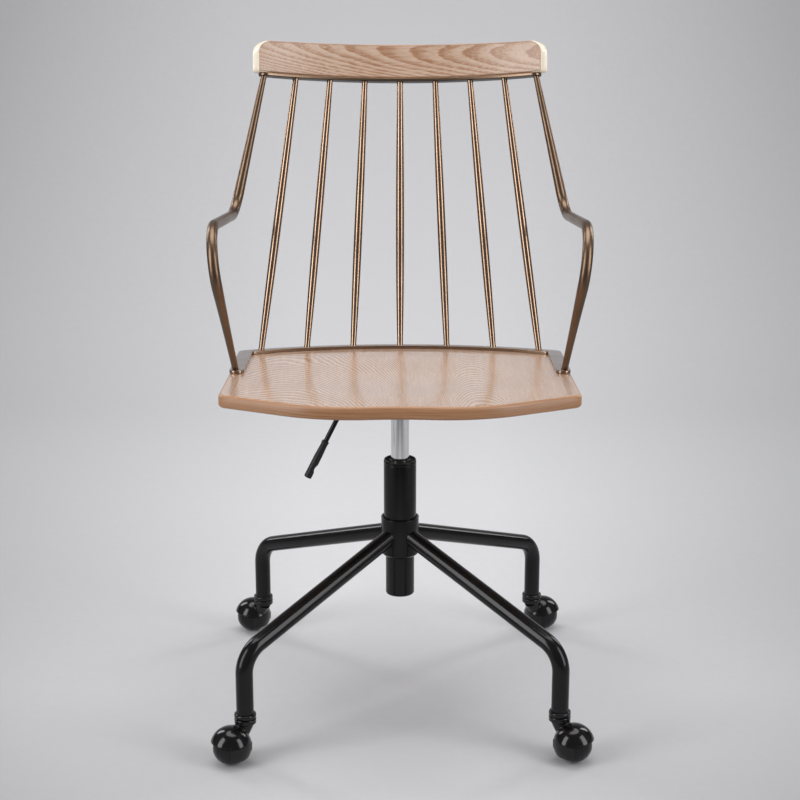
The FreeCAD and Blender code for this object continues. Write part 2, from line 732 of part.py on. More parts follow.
def release_pin():
    """Valve pin standing out of the lift's upper end, with a domed head."""
    top = tongue_height_at_axis() - pin_play
    low = pressure_tube_top - pin_tail
    dome = Part.makeSphere(pin_dome_radius, Vector(0, 0, top - pin_dome_radius))
    straight = Part.makeCylinder(pin_radius * 2, top - pin_dome_radius / 2 - low + 1, Vector(0, 0, low - 1))
    return Part.makeCylinder(pin_radius, top - low, Vector(0, 0, low)).common(dome.fuse(straight))


def pressure_tube():
    """Chromed tube with a closed, coned upper end."""
    cone_low = socket_bottom
    top_radius = pressure_tube_radius - (pressure_tube_top - cone_low) * socket_taper_step
    inner = pressure_tube_radius - pressure_tube_wall
    shell = turned([(0, pressure_tube_bottom), (pressure_tube_radius, pressure_tube_bottom),
                    (pressure_tube_radius, cone_low), (top_radius, pressure_tube_top), (0, pressure_tube_top)])
    roof = pressure_tube_top - pressure_tube_roof
    below = Vector(0, 0, pressure_tube_bottom - 1)
    hollow = Part.makeCylinder(inner - end_guide_step, roof - pressure_tube_bottom + 1, below)
    seat_for_guide = Part.makeCylinder(inner, end_guide_height + 1, below)
    pin_bore = Part.makeCylinder(pin_radius + shaft_gap, FAR, Vector(0, 0, roof - 1))
    return shell.cut(hollow).cut(seat_for_guide).cut(pin_bore)


def end_guide():
    """Seal and guide that closes the pressure tube round the piston rod."""
    inner = pressure_tube_radius - pressure_tube_wall
    return ring(inner, rod_radius + shaft_gap, pressure_tube_bottom, pressure_tube_bottom + end_guide_height)


def bearing_levels():
    """Heights of the lower race, the ball centres and the upper race."""
    race = column_bottom + column_floor
    balls = race + race_thickness + ball_radius
    upper = balls + ball_radius + shaft_gap
    return race, balls, upper


def piston_top():
    """The piston just clears the end guide with the seat at its highest."""
    return pressure_tube_bottom + lift_up + end_guide_height + face_gap + piston_height


def piston_rod():
    _, _, upper = bearing_levels()
    shoulder = upper + race_thickness
    tail = column_bottom - rod_tail
    piston_radius = pressure_tube_radius - pressure_tube_wall - end_guide_step - shaft_gap
    top = piston_top()
    neck = Part.makeCylinder(rod_neck_radius, shoulder - tail, Vector(0, 0, tail))
    shaft = Part.makeCylinder(rod_radius, top - shoulder, Vector(0, 0, shoulder))
    piston = Part.makeCylinder(piston_radius, piston_height, Vector(0, 0, top - piston_height))
    groove_top = column_bottom - face_gap
    groove = ring(rod_neck_radius + 1, rod_neck_radius - clip_groove_depth, groove_top - clip_thickness,
                  groove_top)
    return neck.fuse(shaft).fuse(piston).cut(groove)


def retaining_clip():
    """Spring clip in the rod's groove, under the column's floor."""
    low = column_bottom - face_gap - clip_thickness
    clip = ring(clip_radius, rod_neck_radius - clip_groove_depth, low, low + clip_thickness)
    mouth = box(Vector(0, -clip_mouth / 2, low - 1),
                Vector(clip_radius + 1, clip_mouth / 2, low + clip_thickness + 1))
    return clip.cut(mouth)


def lower_race():
    race, _, _ = bearing_levels()
    return ring(race_radius, rod_neck_radius + 1, race, race + race_thickness)


def upper_race():
    _, _, upper = bearing_levels()
    return ring(race_radius, rod_neck_radius, upper, upper + race_thickness)


def bearing_balls():
    _, height, _ = bearing_levels()
    step = 360 / ball_count
    return [Part.makeSphere(ball_radius, along(ball_ring_radius, step * number, 0, height))
            for number in range(ball_count)]


def bumper():
    """Rubber ring that stops the pressure tube at its lowest."""
    _, _, upper = bearing_levels()
    low = upper + race_thickness
    return ring(bumper_radius, rod_radius, low, low + bumper_height)


def column_outline(inset):
    """(radius, height) points of the column tube's outer face, or of its bore."""
    low = column_bottom + (column_floor if inset else 0)
    return [(0, low), (column_foot_radius - inset, low), (column_foot_radius - inset, hub_bottom),
            (column_radius - inset, hub_top), (column_radius - inset, column_top + (1 if inset else 0)),
            (0, column_top + (1 if inset else 0))]


def column_tube():
    """Outer tube: full width above the hub, necked in through it, rounded at its foot."""
    shell = turned(column_outline(0.0))
    shell = shell.makeFillet(column_foot_round, level_edges(shell, column_bottom))
    shell = shell.cut(turned(column_outline(column_wall)))
    return shell.cut(Part.makeCylinder(rod_neck_radius + shaft_gap, FAR, Vector(0, 0, 0)))


def guide_bush():
    """Plastic bush in the mouth of the column, with a lip over the tube's rim."""
    bore = pressure_tube_radius + shaft_gap
    sleeve = ring(column_radius - column_wall, bore, column_top - bush_length, column_top)
    lip = ring(column_radius - bush_lip_inset, bore, column_top, column_top + bush_lip)
    rim = [edge for edge in level_edges(lip, column_top + bush_lip) if edge.Curve.Radius > bore + 1]
    lip = lip.makeFillet(bush_lip_round, rim)
    return sleeve.fuse(lip).removeSplitter()


def hub_collar():
    """Welded collar that the legs meet, bored to the column's neck."""
    collar = Part.makeCylinder(hub_radius, hub_top - hub_bottom, Vector(0, 0, hub_bottom))
    collar = collar.makeChamfer(hub_chamfer, level_edges(collar, hub_bottom))
    collar = collar.makeFillet(hub_top_round, level_edges(collar, hub_top))
    return collar.cut(turned(column_outline(0.0)))


def leg_angle(number):
    """Degrees about +Z from +X: front left, front right, rear right, rear left."""
    return 225 + base_turn + number * 360 / leg_count


def leg_spot(number):
    turn = math.radians(leg_angle(number))
    return Vector(leg_reach * math.cos(turn), leg_reach * math.sin(turn), 0)


def turned_to_leg(shape, number):
    shape.Placement = Placement(Vector(0, 0, 0), Rotation(Z_AXIS, leg_angle(number)))
    return shape


def leg_bar(radius, low):
    """Solid round bar along the leg's middle line, laid out along +X."""
    fall = math.tan(math.radians(leg_slope))
    inner = Vector(hub_radius / 2, 0, leg_hub_height - fall * hub_radius / 2)
    corner = Vector(leg_reach, 0, leg_hub_height - fall * leg_reach)
    foot = Vector(leg_reach, 0, low)
    start, end, centre, axis = bend_between(inner, corner, foot, leg_bend)
    pieces = [bent_run(start, end, centre, axis, radius), rod_between(end, foot, radius)]
    return rod_between(inner, start, radius).multiFuse(pieces).removeSplitter()


def leg(number):
    tube = leg_bar(leg_radius, leg_end_height).cut(leg_bar(leg_radius - leg_wall, leg_end_height - 1))
    tube = tube.cut(Part.makeCylinder(hub_radius, FAR, Vector(0, 0, 0)))
    return turned_to_leg(tube, number)


def stem_socket(number):
    """Sleeve in the leg's end, with a round flange under the tube."""
    low = leg_end_height - stem_flange_height
    flange = Part.makeCylinder(stem_flange_radius, stem_flange_height, Vector(leg_reach, 0, low))
    rims = level_edges(flange, low) + level_edges(flange, leg_end_height)
    flange = flange.makeFillet(stem_flange_round, rims)
    sleeve = Part.makeCylinder(leg_radius - leg_wall, stem_sleeve_length, Vector(leg_reach, 0, leg_end_height))
    bore = Part.makeCylinder(stem_radius + shaft_gap, stem_flange_height + stem_sleeve_length + 2,
                             Vector(leg_reach, 0, low - 1))
    return turned_to_leg(flange.fuse(sleeve).cut(bore), number)


def caster_sides(number):
    """Which way the ball lies from its stem: outwards in X, and away from the middle in Y."""
    spot = leg_spot(number)
    return math.copysign(1, spot.x), math.copysign(1, spot.y)


def caster_place(shape, number):
    """Takes a caster built with its ball at the origin and its stem at -X, -Y to its own leg."""
    out_x, out_y = caster_sides(number)
    if out_x < 0:
        shape = shape.mirror(Vector(0, 0, 0), X_AXIS)
    if out_y < 0:
        shape = shape.mirror(Vector(0, 0, 0), Y_AXIS)
    spot = leg_spot(number)
    ball = Vector(spot.x + out_x * caster_side_step, spot.y + out_y * caster_trail, ball_wheel_radius)
    return shape.translated(ball)


def caster_stem_point(height):
    """Point on the stem's axis at a height above the floor, with the ball at the origin."""
    return Vector(-caster_side_step, -caster_trail, height - ball_wheel_radius)


def caster_hood():
    """Shell over the ball: a cap with a lip, a cheek on the axle side, a ringed neck for the stem."""
    clear = Part.makeSphere(ball_wheel_radius + wheel_gap)
    shell = Part.makeSphere(hood_radius)
    cap = box(Vector(-FAR, -FAR, hood_lip_rise), Vector(FAR, FAR, FAR))
    cheek = box(Vector(-FAR, -FAR, -hood_cheek_drop), Vector(-cheek_edge, FAR, FAR))
    shell = shell.common(cap.fuse(cheek))
    ring_low = caster_ring_top - caster_ring_height
    ring_disc = Part.makeCylinder(stem_flange_radius, caster_ring_height, caster_stem_point(ring_low))
    ring_disc = ring_disc.makeFillet(stem_flange_round, ring_disc.Edges[0:1] + ring_disc.Edges[2:3])
    neck_foot = caster_stem_point(0) * 0.5
    neck_foot.z = hood_lip_rise
    neck = rod_between(neck_foot, caster_stem_point(ring_low + 1), neck_foot_radius, neck_top_radius)
    boss_start = Vector(-wheel_inner_face - face_gap, 0, 0)
    boss_end = Vector(-hood_radius - axle_boss_stand, 0, 0)
    hood = shell.fuse(neck).fuse(ring_disc).cut(clear)
    hood = hood.fuse(rod_between(boss_start, boss_end, axle_boss_radius)).removeSplitter()
    stem_low, stem_high = stem_ends()
    hood = hood.cut(rod_between(stem_low, stem_high, stem_radius))
    return hood.cut(axle())


def stem_ends():
    high = leg_end_height + stem_sleeve_length - stem_top_inset
    return caster_stem_point(high - stem_length), caster_stem_point(high)


def caster_stem():
    low, high = stem_ends()
    stem = rod_between(low, high, stem_radius)
    clear = Part.makeSphere(ball_wheel_radius + wheel_gap)
    return stem.cut(clear)


def axle():
    start = Vector(wheel_outer_face - axle_outer_inset, 0, 0)
    end = Vector(axle_boss_cover - hood_radius - axle_boss_stand, 0, 0)
    return rod_between(start, end, axle_radius)


def caster_wheel():
    """Rolling ball with a flat on each side and a ring-shaped pocket on the axle side."""
    ball = Part.makeSphere(ball_wheel_radius)
    ball = ball.common(box(Vector(-wheel_inner_face, -FAR, -FAR), Vector(wheel_outer_face, FAR, FAR)))
    pocket_end = Vector(wheel_pocket_depth - wheel_inner_face, 0, 0)
    pocket_start = Vector(-wheel_inner_face - 1, 0, 0)
    mouth = math.sqrt(ball_wheel_radius ** 2 - wheel_inner_face ** 2) - wheel_rim_wall / 2
    pocket = rod_between(pocket_start, pocket_end, mouth)
    pocket = pocket.cut(rod_between(pocket_start, pocket_end, wheel_hub_radius))
    bore_end = Vector(wheel_outer_face - axle_outer_inset + face_gap, 0, 0)
    bore = rod_between(pocket_start, bore_end, axle_radius + shaft_gap)
    return ball.cut(pocket).cut(bore)


def in_seat(shape):
    """Takes a shape from the seat's own frame to the chair's."""
    placed = shape.copy()
    placed.Placement = seat_place.multiply(placed.Placement)
    return placed


def in_back(shape):
    placed = shape.copy()
    placed.Placement = back_place.multiply(placed.Placement)
    return in_seat(placed)


def save(name, shape):
    """Writes one node; a list is a group of separate solids."""
    if isinstance(shape, list):
        shape = Part.makeCompound(shape)
    for number, solid in enumerate(shape.Solids):
        if not solid.isValid() or solid.Volume <= 0:
            print("check", name, number, solid.isValid(), solid.Volume)
    shape.exportStep(os.path.join("parts", name + ".step"))
    return len(shape.Solids)


def all_nodes():
    nodes = {
        "seat": in_seat(seat()),
        "rear_rail": in_seat(rear_rail()),
        "frame_bolts": [in_seat(bolt) for bolt in frame_bolts()],
        "crest_strap": in_back(crest_strap()),
        "crest_rail": in_back(crest_rail()),
        "crest_screws": [in_back(screw) for screw in crest_screws()],
        "mount_plate": in_seat(mount_plate()),
        "mount_screws": [in_seat(screw) for screw in mount_screws()],
        "taper_socket": taper_socket(),
        "lever_bracket": [in_seat(cheek) for cheek in lever_bracket()],
        "lever_pivot_pin": in_seat(lever_pivot_pin()),
        "lever_rod": in_seat(lever_rod()),
        "lever_grip": in_seat(lever_grip()),
        "release_pin": release_pin(),
        "pressure_tube": pressure_tube(),
        "end_guide": end_guide(),
        "piston_rod": piston_rod(),
        "retaining_clip": retaining_clip(),
        "upper_race": upper_race(),
        "bumper": bumper(),
        "lower_race": lower_race(),
        "bearing_balls": bearing_balls(),
        "column_tube": column_tube(),
        "guide_bush": guide_bush(),
        "hub_collar": hub_collar(),
    }
    for side, word in ((-1, "left"), (1, "right")):
        nodes["arm_" + word] = in_seat(arm(side))
        nodes["corner_plate_" + word] = in_seat(corner_plate(side))
    for number in range(spindle_count):
        nodes[f"spindle_{number + 1}"] = in_seat(spindle(number - spindle_side))
    hood, stem, pin, wheel = caster_hood(), caster_stem(), axle(), caster_wheel()
    for number in range(leg_count):
        tag = str(number + 1)
        nodes["leg_" + tag] = leg(number)
        nodes["stem_socket_" + tag] = stem_socket(number)
        nodes["caster_hood_" + tag] = caster_place(hood, number)
        nodes["caster_stem_" + tag] = caster_place(stem, number)
        nodes["caster_axle_" + tag] = caster_place(pin, number)
        nodes["caster_wheel_" + tag] = caster_place(wheel, number)
    return nodes


os.makedirs("parts", exist_ok=True)
for node_name, node_shape in all_nodes().items():
    solids = save(node_name, node_shape)
    print(node_name, solids)
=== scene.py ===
import math

import bmesh
import bpy
from mathutils import Matrix, Vector


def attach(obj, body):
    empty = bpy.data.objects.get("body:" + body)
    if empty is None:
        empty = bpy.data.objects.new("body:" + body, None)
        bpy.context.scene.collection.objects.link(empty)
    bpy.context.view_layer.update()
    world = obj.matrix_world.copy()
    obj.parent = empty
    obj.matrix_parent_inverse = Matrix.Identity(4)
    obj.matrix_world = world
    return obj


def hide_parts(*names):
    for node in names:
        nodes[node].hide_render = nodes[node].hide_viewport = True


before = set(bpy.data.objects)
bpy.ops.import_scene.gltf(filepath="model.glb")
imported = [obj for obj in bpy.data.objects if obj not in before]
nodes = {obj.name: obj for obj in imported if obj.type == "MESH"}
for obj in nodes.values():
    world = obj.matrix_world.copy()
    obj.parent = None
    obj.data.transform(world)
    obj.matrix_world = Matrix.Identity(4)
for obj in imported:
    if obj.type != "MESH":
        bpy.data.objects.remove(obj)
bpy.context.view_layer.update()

# Oak and brass swivel armchair on a black four-legged base. Metres, +Z up, the sitter faces -Y.
# Lengths in the dictionaries are millimetres, but metres in those of the grain, the stage and the lamps.

mm = 0.001
weldDistance = 1e-7
scene = bpy.context.scene


# Places

seatPlace = {"height": 516.0, "pitch": 4.0}
backPlace = {"railMiddle": 569.0, "rearCentre": -336.0, "barThickness": 5.5, "recline": 10.4}

seatMatrix = (Matrix.Translation((0, 0, seatPlace["height"] * mm))
              @ Matrix.Rotation(math.radians(-seatPlace["pitch"]), 4, "X"))
backMatrix = (seatMatrix
              @ Matrix.Translation((0, (backPlace["rearCentre"] + backPlace["railMiddle"]) * mm,
                                    backPlace["barThickness"] * mm))
              @ Matrix.Rotation(math.radians(-backPlace["recline"]), 4, "X"))


def inSeat(x, y, z):
    return seatMatrix @ Vector((x * mm, y * mm, z * mm))


def inBack(x, y, z):
    return backMatrix @ Vector((x * mm, y * mm, z * mm))


def onArc(radius, degrees, centreY):
    turn = math.radians(degrees)
    return radius * math.sin(turn), centreY + radius * math.cos(turn)


# Material helpers

# A node tree with short ways to add nodes, link them and reckon with their values.
class NodeTree:
    def feed(self, socket, value):
        if isinstance(value, bpy.types.NodeSocket):
            self.tree.links.new(value, socket)
        else:
            socket.default_value = value

    def add(self, kind, inputs=None, **settings):
        node = self.tree.nodes.new(kind)
        for key, value in settings.items():
            setattr(node, key, value)
        for key, value in (inputs or {}).items():
            self.feed(node.inputs[key], value)
        return node

    def math(self, operation, first, second=0.0, clamp=False):
        node = self.add("ShaderNodeMath", {0: first, 1: second}, operation=operation, use_clamp=clamp)
        return node.outputs[0]

    def plus(self, first, second, clamp=False):
        return self.math("ADD", first, second, clamp)

    def minus(self, first, second):
        return self.math("SUBTRACT", first, second)

    def times(self, first, second):
        return self.math("MULTIPLY", first, second)


# A material made from nodes.
class Graph(NodeTree):
    def __init__(self, name):
        self.material = bpy.data.materials.new(name)
        self.material.use_nodes = True
        self.tree = self.material.node_tree
        self.tree.nodes.clear()

    def coordinates(self, turnX=0.0):
        source = self.add("ShaderNodeTexCoord").outputs["Object"]
        mapping = self.add("ShaderNodeMapping", {"Vector": source, "Rotation": (math.radians(turnX), 0, 0)})
        return mapping.outputs[0]

    def split(self, vector):
        return self.add("ShaderNodeSeparateXYZ", {0: vector}).outputs

    def noise(self, vector, scale, detail, roughness=0.55):
        node = self.add("ShaderNodeTexNoise", {"Vector": vector, "Scale": scale, "Detail": detail,
                                               "Roughness": roughness})
        return node.outputs["Fac"]

    # Noise that is long one way: place is first multiplied by the three given scales.
    def streaks(self, place, scales, detail, roughness=0.55):
        stretched = self.add("ShaderNodeVectorMath", {0: place, 1: scales}, operation="MULTIPLY").outputs[0]
        return self.noise(stretched, 1.0, detail, roughness)

    def ramp(self, factor, stops, interpolation="LINEAR"):
        node = self.add("ShaderNodeValToRGB", {"Fac": factor})
        node.color_ramp.interpolation = interpolation
        points = node.color_ramp.elements
        while len(points) < len(stops):
            points.new(0.5)
        for point, (place, colour) in zip(points, stops):
            point.position = place
            point.color = (*colour, 1.0)
        return node.outputs["Color"]

    def grey(self, factor, low, high, fromLow=0.0, fromHigh=1.0):
        node = self.add("ShaderNodeMapRange", {"Value": factor, "From Min": fromLow, "From Max": fromHigh,
                                               "To Min": low, "To Max": high}, clamp=True)
        return node.outputs[0]

    def mix(self, factor, first, second):
        first, second = ((*value, 1.0) if isinstance(value, tuple) else value for value in (first, second))
        node = self.add("ShaderNodeMix", {0: factor, 6: first, 7: second}, data_type="RGBA")
        return node.outputs[2]

    # Two patterns added, the first with a share of the whole.
    def blend(self, first, share, second):
        return self.plus(self.times(first, share), self.times(second, 1.0 - share))

    # A share added to a value: value + (pattern - middle) * amount.
    def sway(self, value, pattern, middle, amount, clamp=False):
        change = self.times(self.minus(pattern, middle), amount)
        return self.plus(value, change, clamp)

    def bump(self, height, strength, distance):
        node = self.add("ShaderNodeBump", {"Height": height, "Strength": strength, "Distance": distance})
        return node.outputs[0]

    def finish(self, **inputs):
        shader = self.add("ShaderNodeBsdfPrincipled", inputs)
        self.add("ShaderNodeOutputMaterial", {0: shader.outputs[0]})
        return self.material


# Wood

oakLook = {
    "pale": (0.72, 0.520, 0.395), "mid": (0.585, 0.370, 0.250), "brown": (0.43, 0.215, 0.115),
    "lime": (0.79, 0.66, 0.55), "edgePale": (0.370, 0.185, 0.090), "edgeDark": (0.225, 0.100, 0.044),
    # endPaintedHighlight is not the oak's own colour: it is a painted highlight for the crest's sawn ends.
    "edgeLight": (0.480, 0.265, 0.142), "endPaintedHighlight": (0.80, 0.71, 0.56), "outline": (0.26, 0.145, 0.085),
}

# Fibre noise: scale along the grain and across it, detail, roughness.
oakFibres = {"streak": (14.0, 430.0, 3.0, 0.65), "fine": (40.0, 1500.0, 2.0, 0.6),
             "patch": (5.0, 40.0, 2.0, 0.5)}
# Noise of the edges and ends: scales each way, detail, roughness.
oakNoise = {"edgeLines": ((7.0, 7.0, 420.0), 4.0, 0.6), "edgeFine": ((30.0, 30.0, 1500.0), 2.0, 0.6),
            "edgePatch": ((9.0, 9.0, 60.0), 3.0, 0.55), "endPores": ((700.0, 90.0, 500.0), 2.0, 0.6),
            "endLines": ((16.0, 420.0, 420.0), 3.0, 0.6)}
# Ranges: the first and last value given, then the levels of the pattern at which they are reached.
oakRanges = {"fibreShade": (0.35, 1.35, 0.36, 0.62), "limeFibre": (0.0, 0.65, 0.54, 0.68),
             "limeRing": (1.0, 0.35), "faceRough": (0.42, 0.28, 0.35, 0.65),
             "edgePatch": (0.0, 0.30, 0.5, 0.75), "edgeRough": (0.30, 0.45, 0.3, 0.7),
             "endHighlightStart": (0.0, 1.0, 0.206, 0.214), "endPores": (0.0, 0.35, 0.5, 0.7),
             "endRough": (0.35, 0.5, 0.3, 0.7), "lineMottle": (0.0, 0.5, 0.4, 0.7)}
grainDepth = 0.0003
# Darkness across one growth ring: place in the ring, level.
oakRing = ((0.0, 1.0), (0.22, 0.72), (0.60, 0.16), (0.88, 0.05), (1.0, 1.0))

# Wanders are noises that move the rings: scales, detail, amount.
crestGrain = {"axisHeight": 1.026, "axisTilt": 0.06, "bow": 120.0, "spacing": 0.047, "start": 0.745,
              "wanders": (((7.0, 7.0, 22.0), 3.0, 0.056), ((45.0, 45.0, 160.0), 2.0, 0.014)),
              "strength": 1.0, "fibre": 1.30, "tone": 0.75}
seatGrain = {"leftAt": -0.169, "leftWidth": 0.206, "rightAt": 0.115, "rightWidth": 0.100, "archLength": 0.52,
             "spacing": 0.0175, "wanders": (((9.0, 5.0, 9.0), 2.0, 0.132), ((60.0, 28.0, 60.0), 2.0, 0.0077)),
             "strength": 1.10, "fibre": 0.50, "tone": 0.86}


# Colour, roughness and bump of limed oak from a ring phase (0 to 1) and the fibres' direction.
def oakFinish(g, place, phase, directions, look, coat, coatRoughness, bumpStrength):
    strength, fibreShare, tone = look["strength"], look["fibre"], look["tone"]
    long, crosswise = directions
    late = g.ramp(phase, [(at, (level,) * 3) for at, level in oakRing], "EASE")

    def fibres(along, across, detail, roughness):
        scales = tuple(long[i] * along + crosswise[i] * across for i in range(3))
        return g.streaks(place, scales, detail, roughness)

    streak, fine, patch = (fibres(*oakFibres[word]) for word in ("streak", "fine", "patch"))
    fibre = g.blend(streak, 0.7, fine)
    dark = g.times(late, g.grey(fibre, *oakRanges["fibreShade"]))
    dark = g.sway(g.times(dark, strength), fibre, 0.50, fibreShare)
    dark = g.sway(dark, patch, 0.45, 0.5 * fibreShare, True)
    shades = [tuple(tone * c for c in oakLook[word]) for word in ("pale", "mid", "brown", "lime")]
    colour = g.ramp(dark, list(zip((0.0, 0.42, 1.0), shades)))
    limed = g.times(g.grey(fine, *oakRanges["limeFibre"]), g.grey(late, *oakRanges["limeRing"]))
    colour = g.mix(limed, colour, shades[3])
    height = g.minus(fibre, g.times(late, 0.8))
    return g.finish(**{"Base Color": colour, "Roughness": g.grey(fibre, *oakRanges["faceRough"]),
                       "Normal": g.bump(height, bumpStrength, grainDepth), "Coat Weight": coat,
                       "Coat Roughness": coatRoughness, "Coat IOR": 1.55,
                       "Coat Normal": g.bump(height, bumpStrength * 0.5, grainDepth)})


def wandered(g, place, flow, look):
    for scales, detail, amount in look["wanders"]:
        flow = g.sway(flow, g.streaks(place, scales, detail, 0.5), 0.5, amount)
    return flow


# The crest's broad faces: long tongues of grain that point left from under the top edge.
def oakCrest(name, turnX):
    s, g = crestGrain, Graph(name)
    place = g.coordinates(turnX)
    x, _, z = g.split(place)
    off = g.plus(g.minus(z, s["axisHeight"]), g.times(x, s["axisTilt"]))
    bowed = g.minus(x, g.times(g.times(off, off), s["bow"]))
    flow = wandered(g, place, bowed, s)
    phase = g.math("FRACT", g.plus(g.math("DIVIDE", flow, s["spacing"]), s["start"]))
    return oakFinish(g, place, phase, ((1, 0, 0), (0, 1, 1)), s, 0.15, 0.2, 0.35)


# The seat's broad faces: two rows of narrow arches that run front to back, in fine close lines.
def oakSeat(name, turnX):
    s, g = seatGrain, Graph(name)
    place = g.coordinates(turnX)
    x, y, _ = g.split(place)
    sides = []
    for side in ("left", "right"):
        off = g.math("DIVIDE", g.minus(x, s[side + "At"]), s[side + "Width"])
        sides.append(g.times(g.times(off, off), s["archLength"]))
    flow = wandered(g, place, g.plus(y, g.math("MINIMUM", *sides)), s)
    phase = g.math("FRACT", g.math("DIVIDE", flow, s["spacing"]))
    return oakFinish(g, place, phase, ((0, 1, 0), (1, 0, 1)), s, 1.0, 0.07, 0.85)


# The seat's front and side edges, where the grain runs round the board in thin lines.
def oakEdge(name, turnX):
    g = Graph(name)
    place = g.coordinates(turnX)
    lines, fine, patch = (g.streaks(place, *oakNoise["edge" + word]) for word in ("Lines", "Fine", "Patch"))
    shades = [oakLook[word] for word in ("edgeDark", "edgePale", "edgeLight")]
    colour = g.ramp(g.blend(lines, 0.7, fine), list(zip((0.30, 0.50, 0.80), shades)))
    colour = g.mix(g.grey(patch, *oakRanges["edgePatch"]), colour, oakLook["edgeLight"])
    return g.finish(**{"Base Color": colour, "Roughness": g.grey(lines, *oakRanges["edgeRough"]),
                       "Normal": g.bump(fine, 0.3, grainDepth), "Coat Weight": 0.05, "Coat Roughness": 0.18})


# The crest's softened edge and top, with a brown line where the faces turn, and its sawn ends, which are
# painted pale cream as a painted highlight of the side lamps.
def oakEnd(name, turnX):
    g = Graph(name)
    place = g.coordinates(turnX)
    x, _, _ = g.split(place)
    pores, lines = (g.streaks(place, *oakNoise["end" + word]) for word in ("Pores", "Lines"))
    # Painted highlight: towards each end the colour turns to pale cream, as if the side lamps lit the sawn
    # ends.
    nearEnd = g.grey(g.math("ABSOLUTE", x), *oakRanges["endHighlightStart"])
    edge = g.ramp(lines, [(0.35, oakLook["outline"]), (0.65, oakLook["edgeLight"])])
    end = g.mix(g.grey(pores, *oakRanges["endPores"]), oakLook["endPaintedHighlight"], oakLook["pale"])
    colour = g.mix(nearEnd, edge, end)
    return g.finish(**{"Base Color": colour, "Roughness": g.grey(pores, *oakRanges["endRough"]),
                       "Normal": g.bump(lines, 0.25, grainDepth), "Coat Weight": 0.3, "Coat Roughness": 0.2})


# The brown line where a broad face turns into the edge, mottled by noise.
def oakLine(name):
    g = Graph(name)
    place = g.coordinates()
    mottle = g.noise(place, 90.0, 3.0, 0.6)
    colour = g.mix(g.grey(mottle, *oakRanges["lineMottle"]), oakLook["outline"], oakLook["mid"])
    return g.finish(**{"Base Color": colour, "Roughness": g.grey(mottle, *oakRanges["endRough"]),
                       "Normal": g.bump(mottle, 0.1, 0.0002)})


# Metals, paint, plastic

brassLook = {"dark": (0.230, 0.146, 0.092), "middle": (0.262, 0.170, 0.110), "light": (0.300, 0.200, 0.134),
             "coatRoughness": 0.10}


# Antique brass plating under lacquer: brown, brighter where it has been rubbed.
def brassFinish(name, shade=1.0, roughness=0.205, coat=0.45):
    g = Graph(name)
    place = g.coordinates()
    cloud, speck = g.noise(place, 16.0, 3.0), g.noise(place, 55.0, 2.0, 0.5)
    worn = g.blend(cloud, 0.75, speck)
    shades = [tuple(shade * c for c in brassLook[word]) for word in ("dark", "middle", "light")]
    return g.finish(**{"Base Color": g.ramp(worn, list(zip((0.32, 0.50, 0.70), shades))), "Metallic": 1.0,
                       "Roughness": g.grey(worn, roughness + 0.03, roughness - 0.03, 0.35, 0.65),
                       "Normal": g.bump(cloud, 0.006, 0.0001), "Coat Weight": coat,
                       "Coat Roughness": brassLook["coatRoughness"]})


# Each finish: fine and broad noise (scale, detail, roughness), darkest and lightest colour, roughness range and
# the noise that drives it, bump of the fine noise (strength, distance), and plain shader values. Some have a
# stretch, which scales the fine noise each way, or a shade, which darkens both colours.
metal = {"Metallic": 1.0}
blackPlastic = ((0.0080, 0.0080, 0.0084), (0.0130, 0.0130, 0.0134))
zinc = ((0.36, 0.36, 0.37), (0.52, 0.52, 0.53))
finishes = {
    "blackPowderCoat": {"fine": (620.0, 2.0, 0.5), "broad": (18.0, 3.0, 0.6),
                        "colours": ((0.0038, 0.0038, 0.0040), (0.0062, 0.0061, 0.0065)), "rough": (0.17, 0.25),
                        "driver": "broad", "bump": (0.10, 0.00025),
                        "shader": {"Specular IOR Level": 0.20, "Coat Weight": 0.15, "Coat Roughness": 0.09}},
    "polishedChrome": {"fine": (1.0, 2.0, 0.55), "stretch": (30.0, 30.0, 1400.0), "broad": (40.0, 3.0, 0.55),
                       "colours": ((0.90, 0.90, 0.92), (0.97, 0.97, 0.99)), "rough": (0.07, 0.14),
                       "driver": "broad", "bump": (0.03, 0.0001), "shader": metal},
    "zincSteel": {"fine": (180.0, 3.0, 0.6), "broad": (25.0, 3.0, 0.6), "colours": zinc, "rough": (0.28, 0.46),
                  "driver": "fine", "bump": (0.12, 0.0002), "shader": metal},
    "blackenedSteel": {"fine": (180.0, 3.0, 0.6), "broad": (25.0, 3.0, 0.6), "colours": zinc, "shade": 0.25,
                       "rough": (0.28, 0.46), "driver": "fine", "bump": (0.12, 0.0002), "shader": metal},
    "bumperRubber": {"fine": (350.0, 3.0, 0.6), "broad": (350.0, 3.0, 0.6),
                     "colours": ((0.018, 0.018, 0.018), (0.032, 0.031, 0.030)), "rough": (0.65, 0.85),
                     "driver": "fine", "bump": (0.25, 0.0003), "shader": {}},
}
# Moulded parts: roughness, grain of the surface, shade, coat, specular level.
plastics = {
    "gripPlastic": (0.42, 700.0, 1.6, 0.0, 0.3), "wheelPlastic": (0.19, 900.0, 0.40, 0.15, 0.22),
    "hoodPlastic": (0.16, 900.0, 0.35, 0.25, 0.25), "bushPlastic": (0.35, 400.0, 1.3, 0.0, 0.3),
}
for name, (roughness, grain, shade, coat, shine) in plastics.items():
    finishes[name] = {"fine": (grain, 3.0, 0.6), "broad": (30.0, 2.0, 0.55), "colours": blackPlastic,
                      "shade": shade, "rough": (roughness - 0.05, roughness + 0.07), "driver": "fine",
                      "bump": (0.05, 0.0001),
                      "shader": {"Specular IOR Level": shine, "Coat Weight": coat, "Coat Roughness": 0.08}}


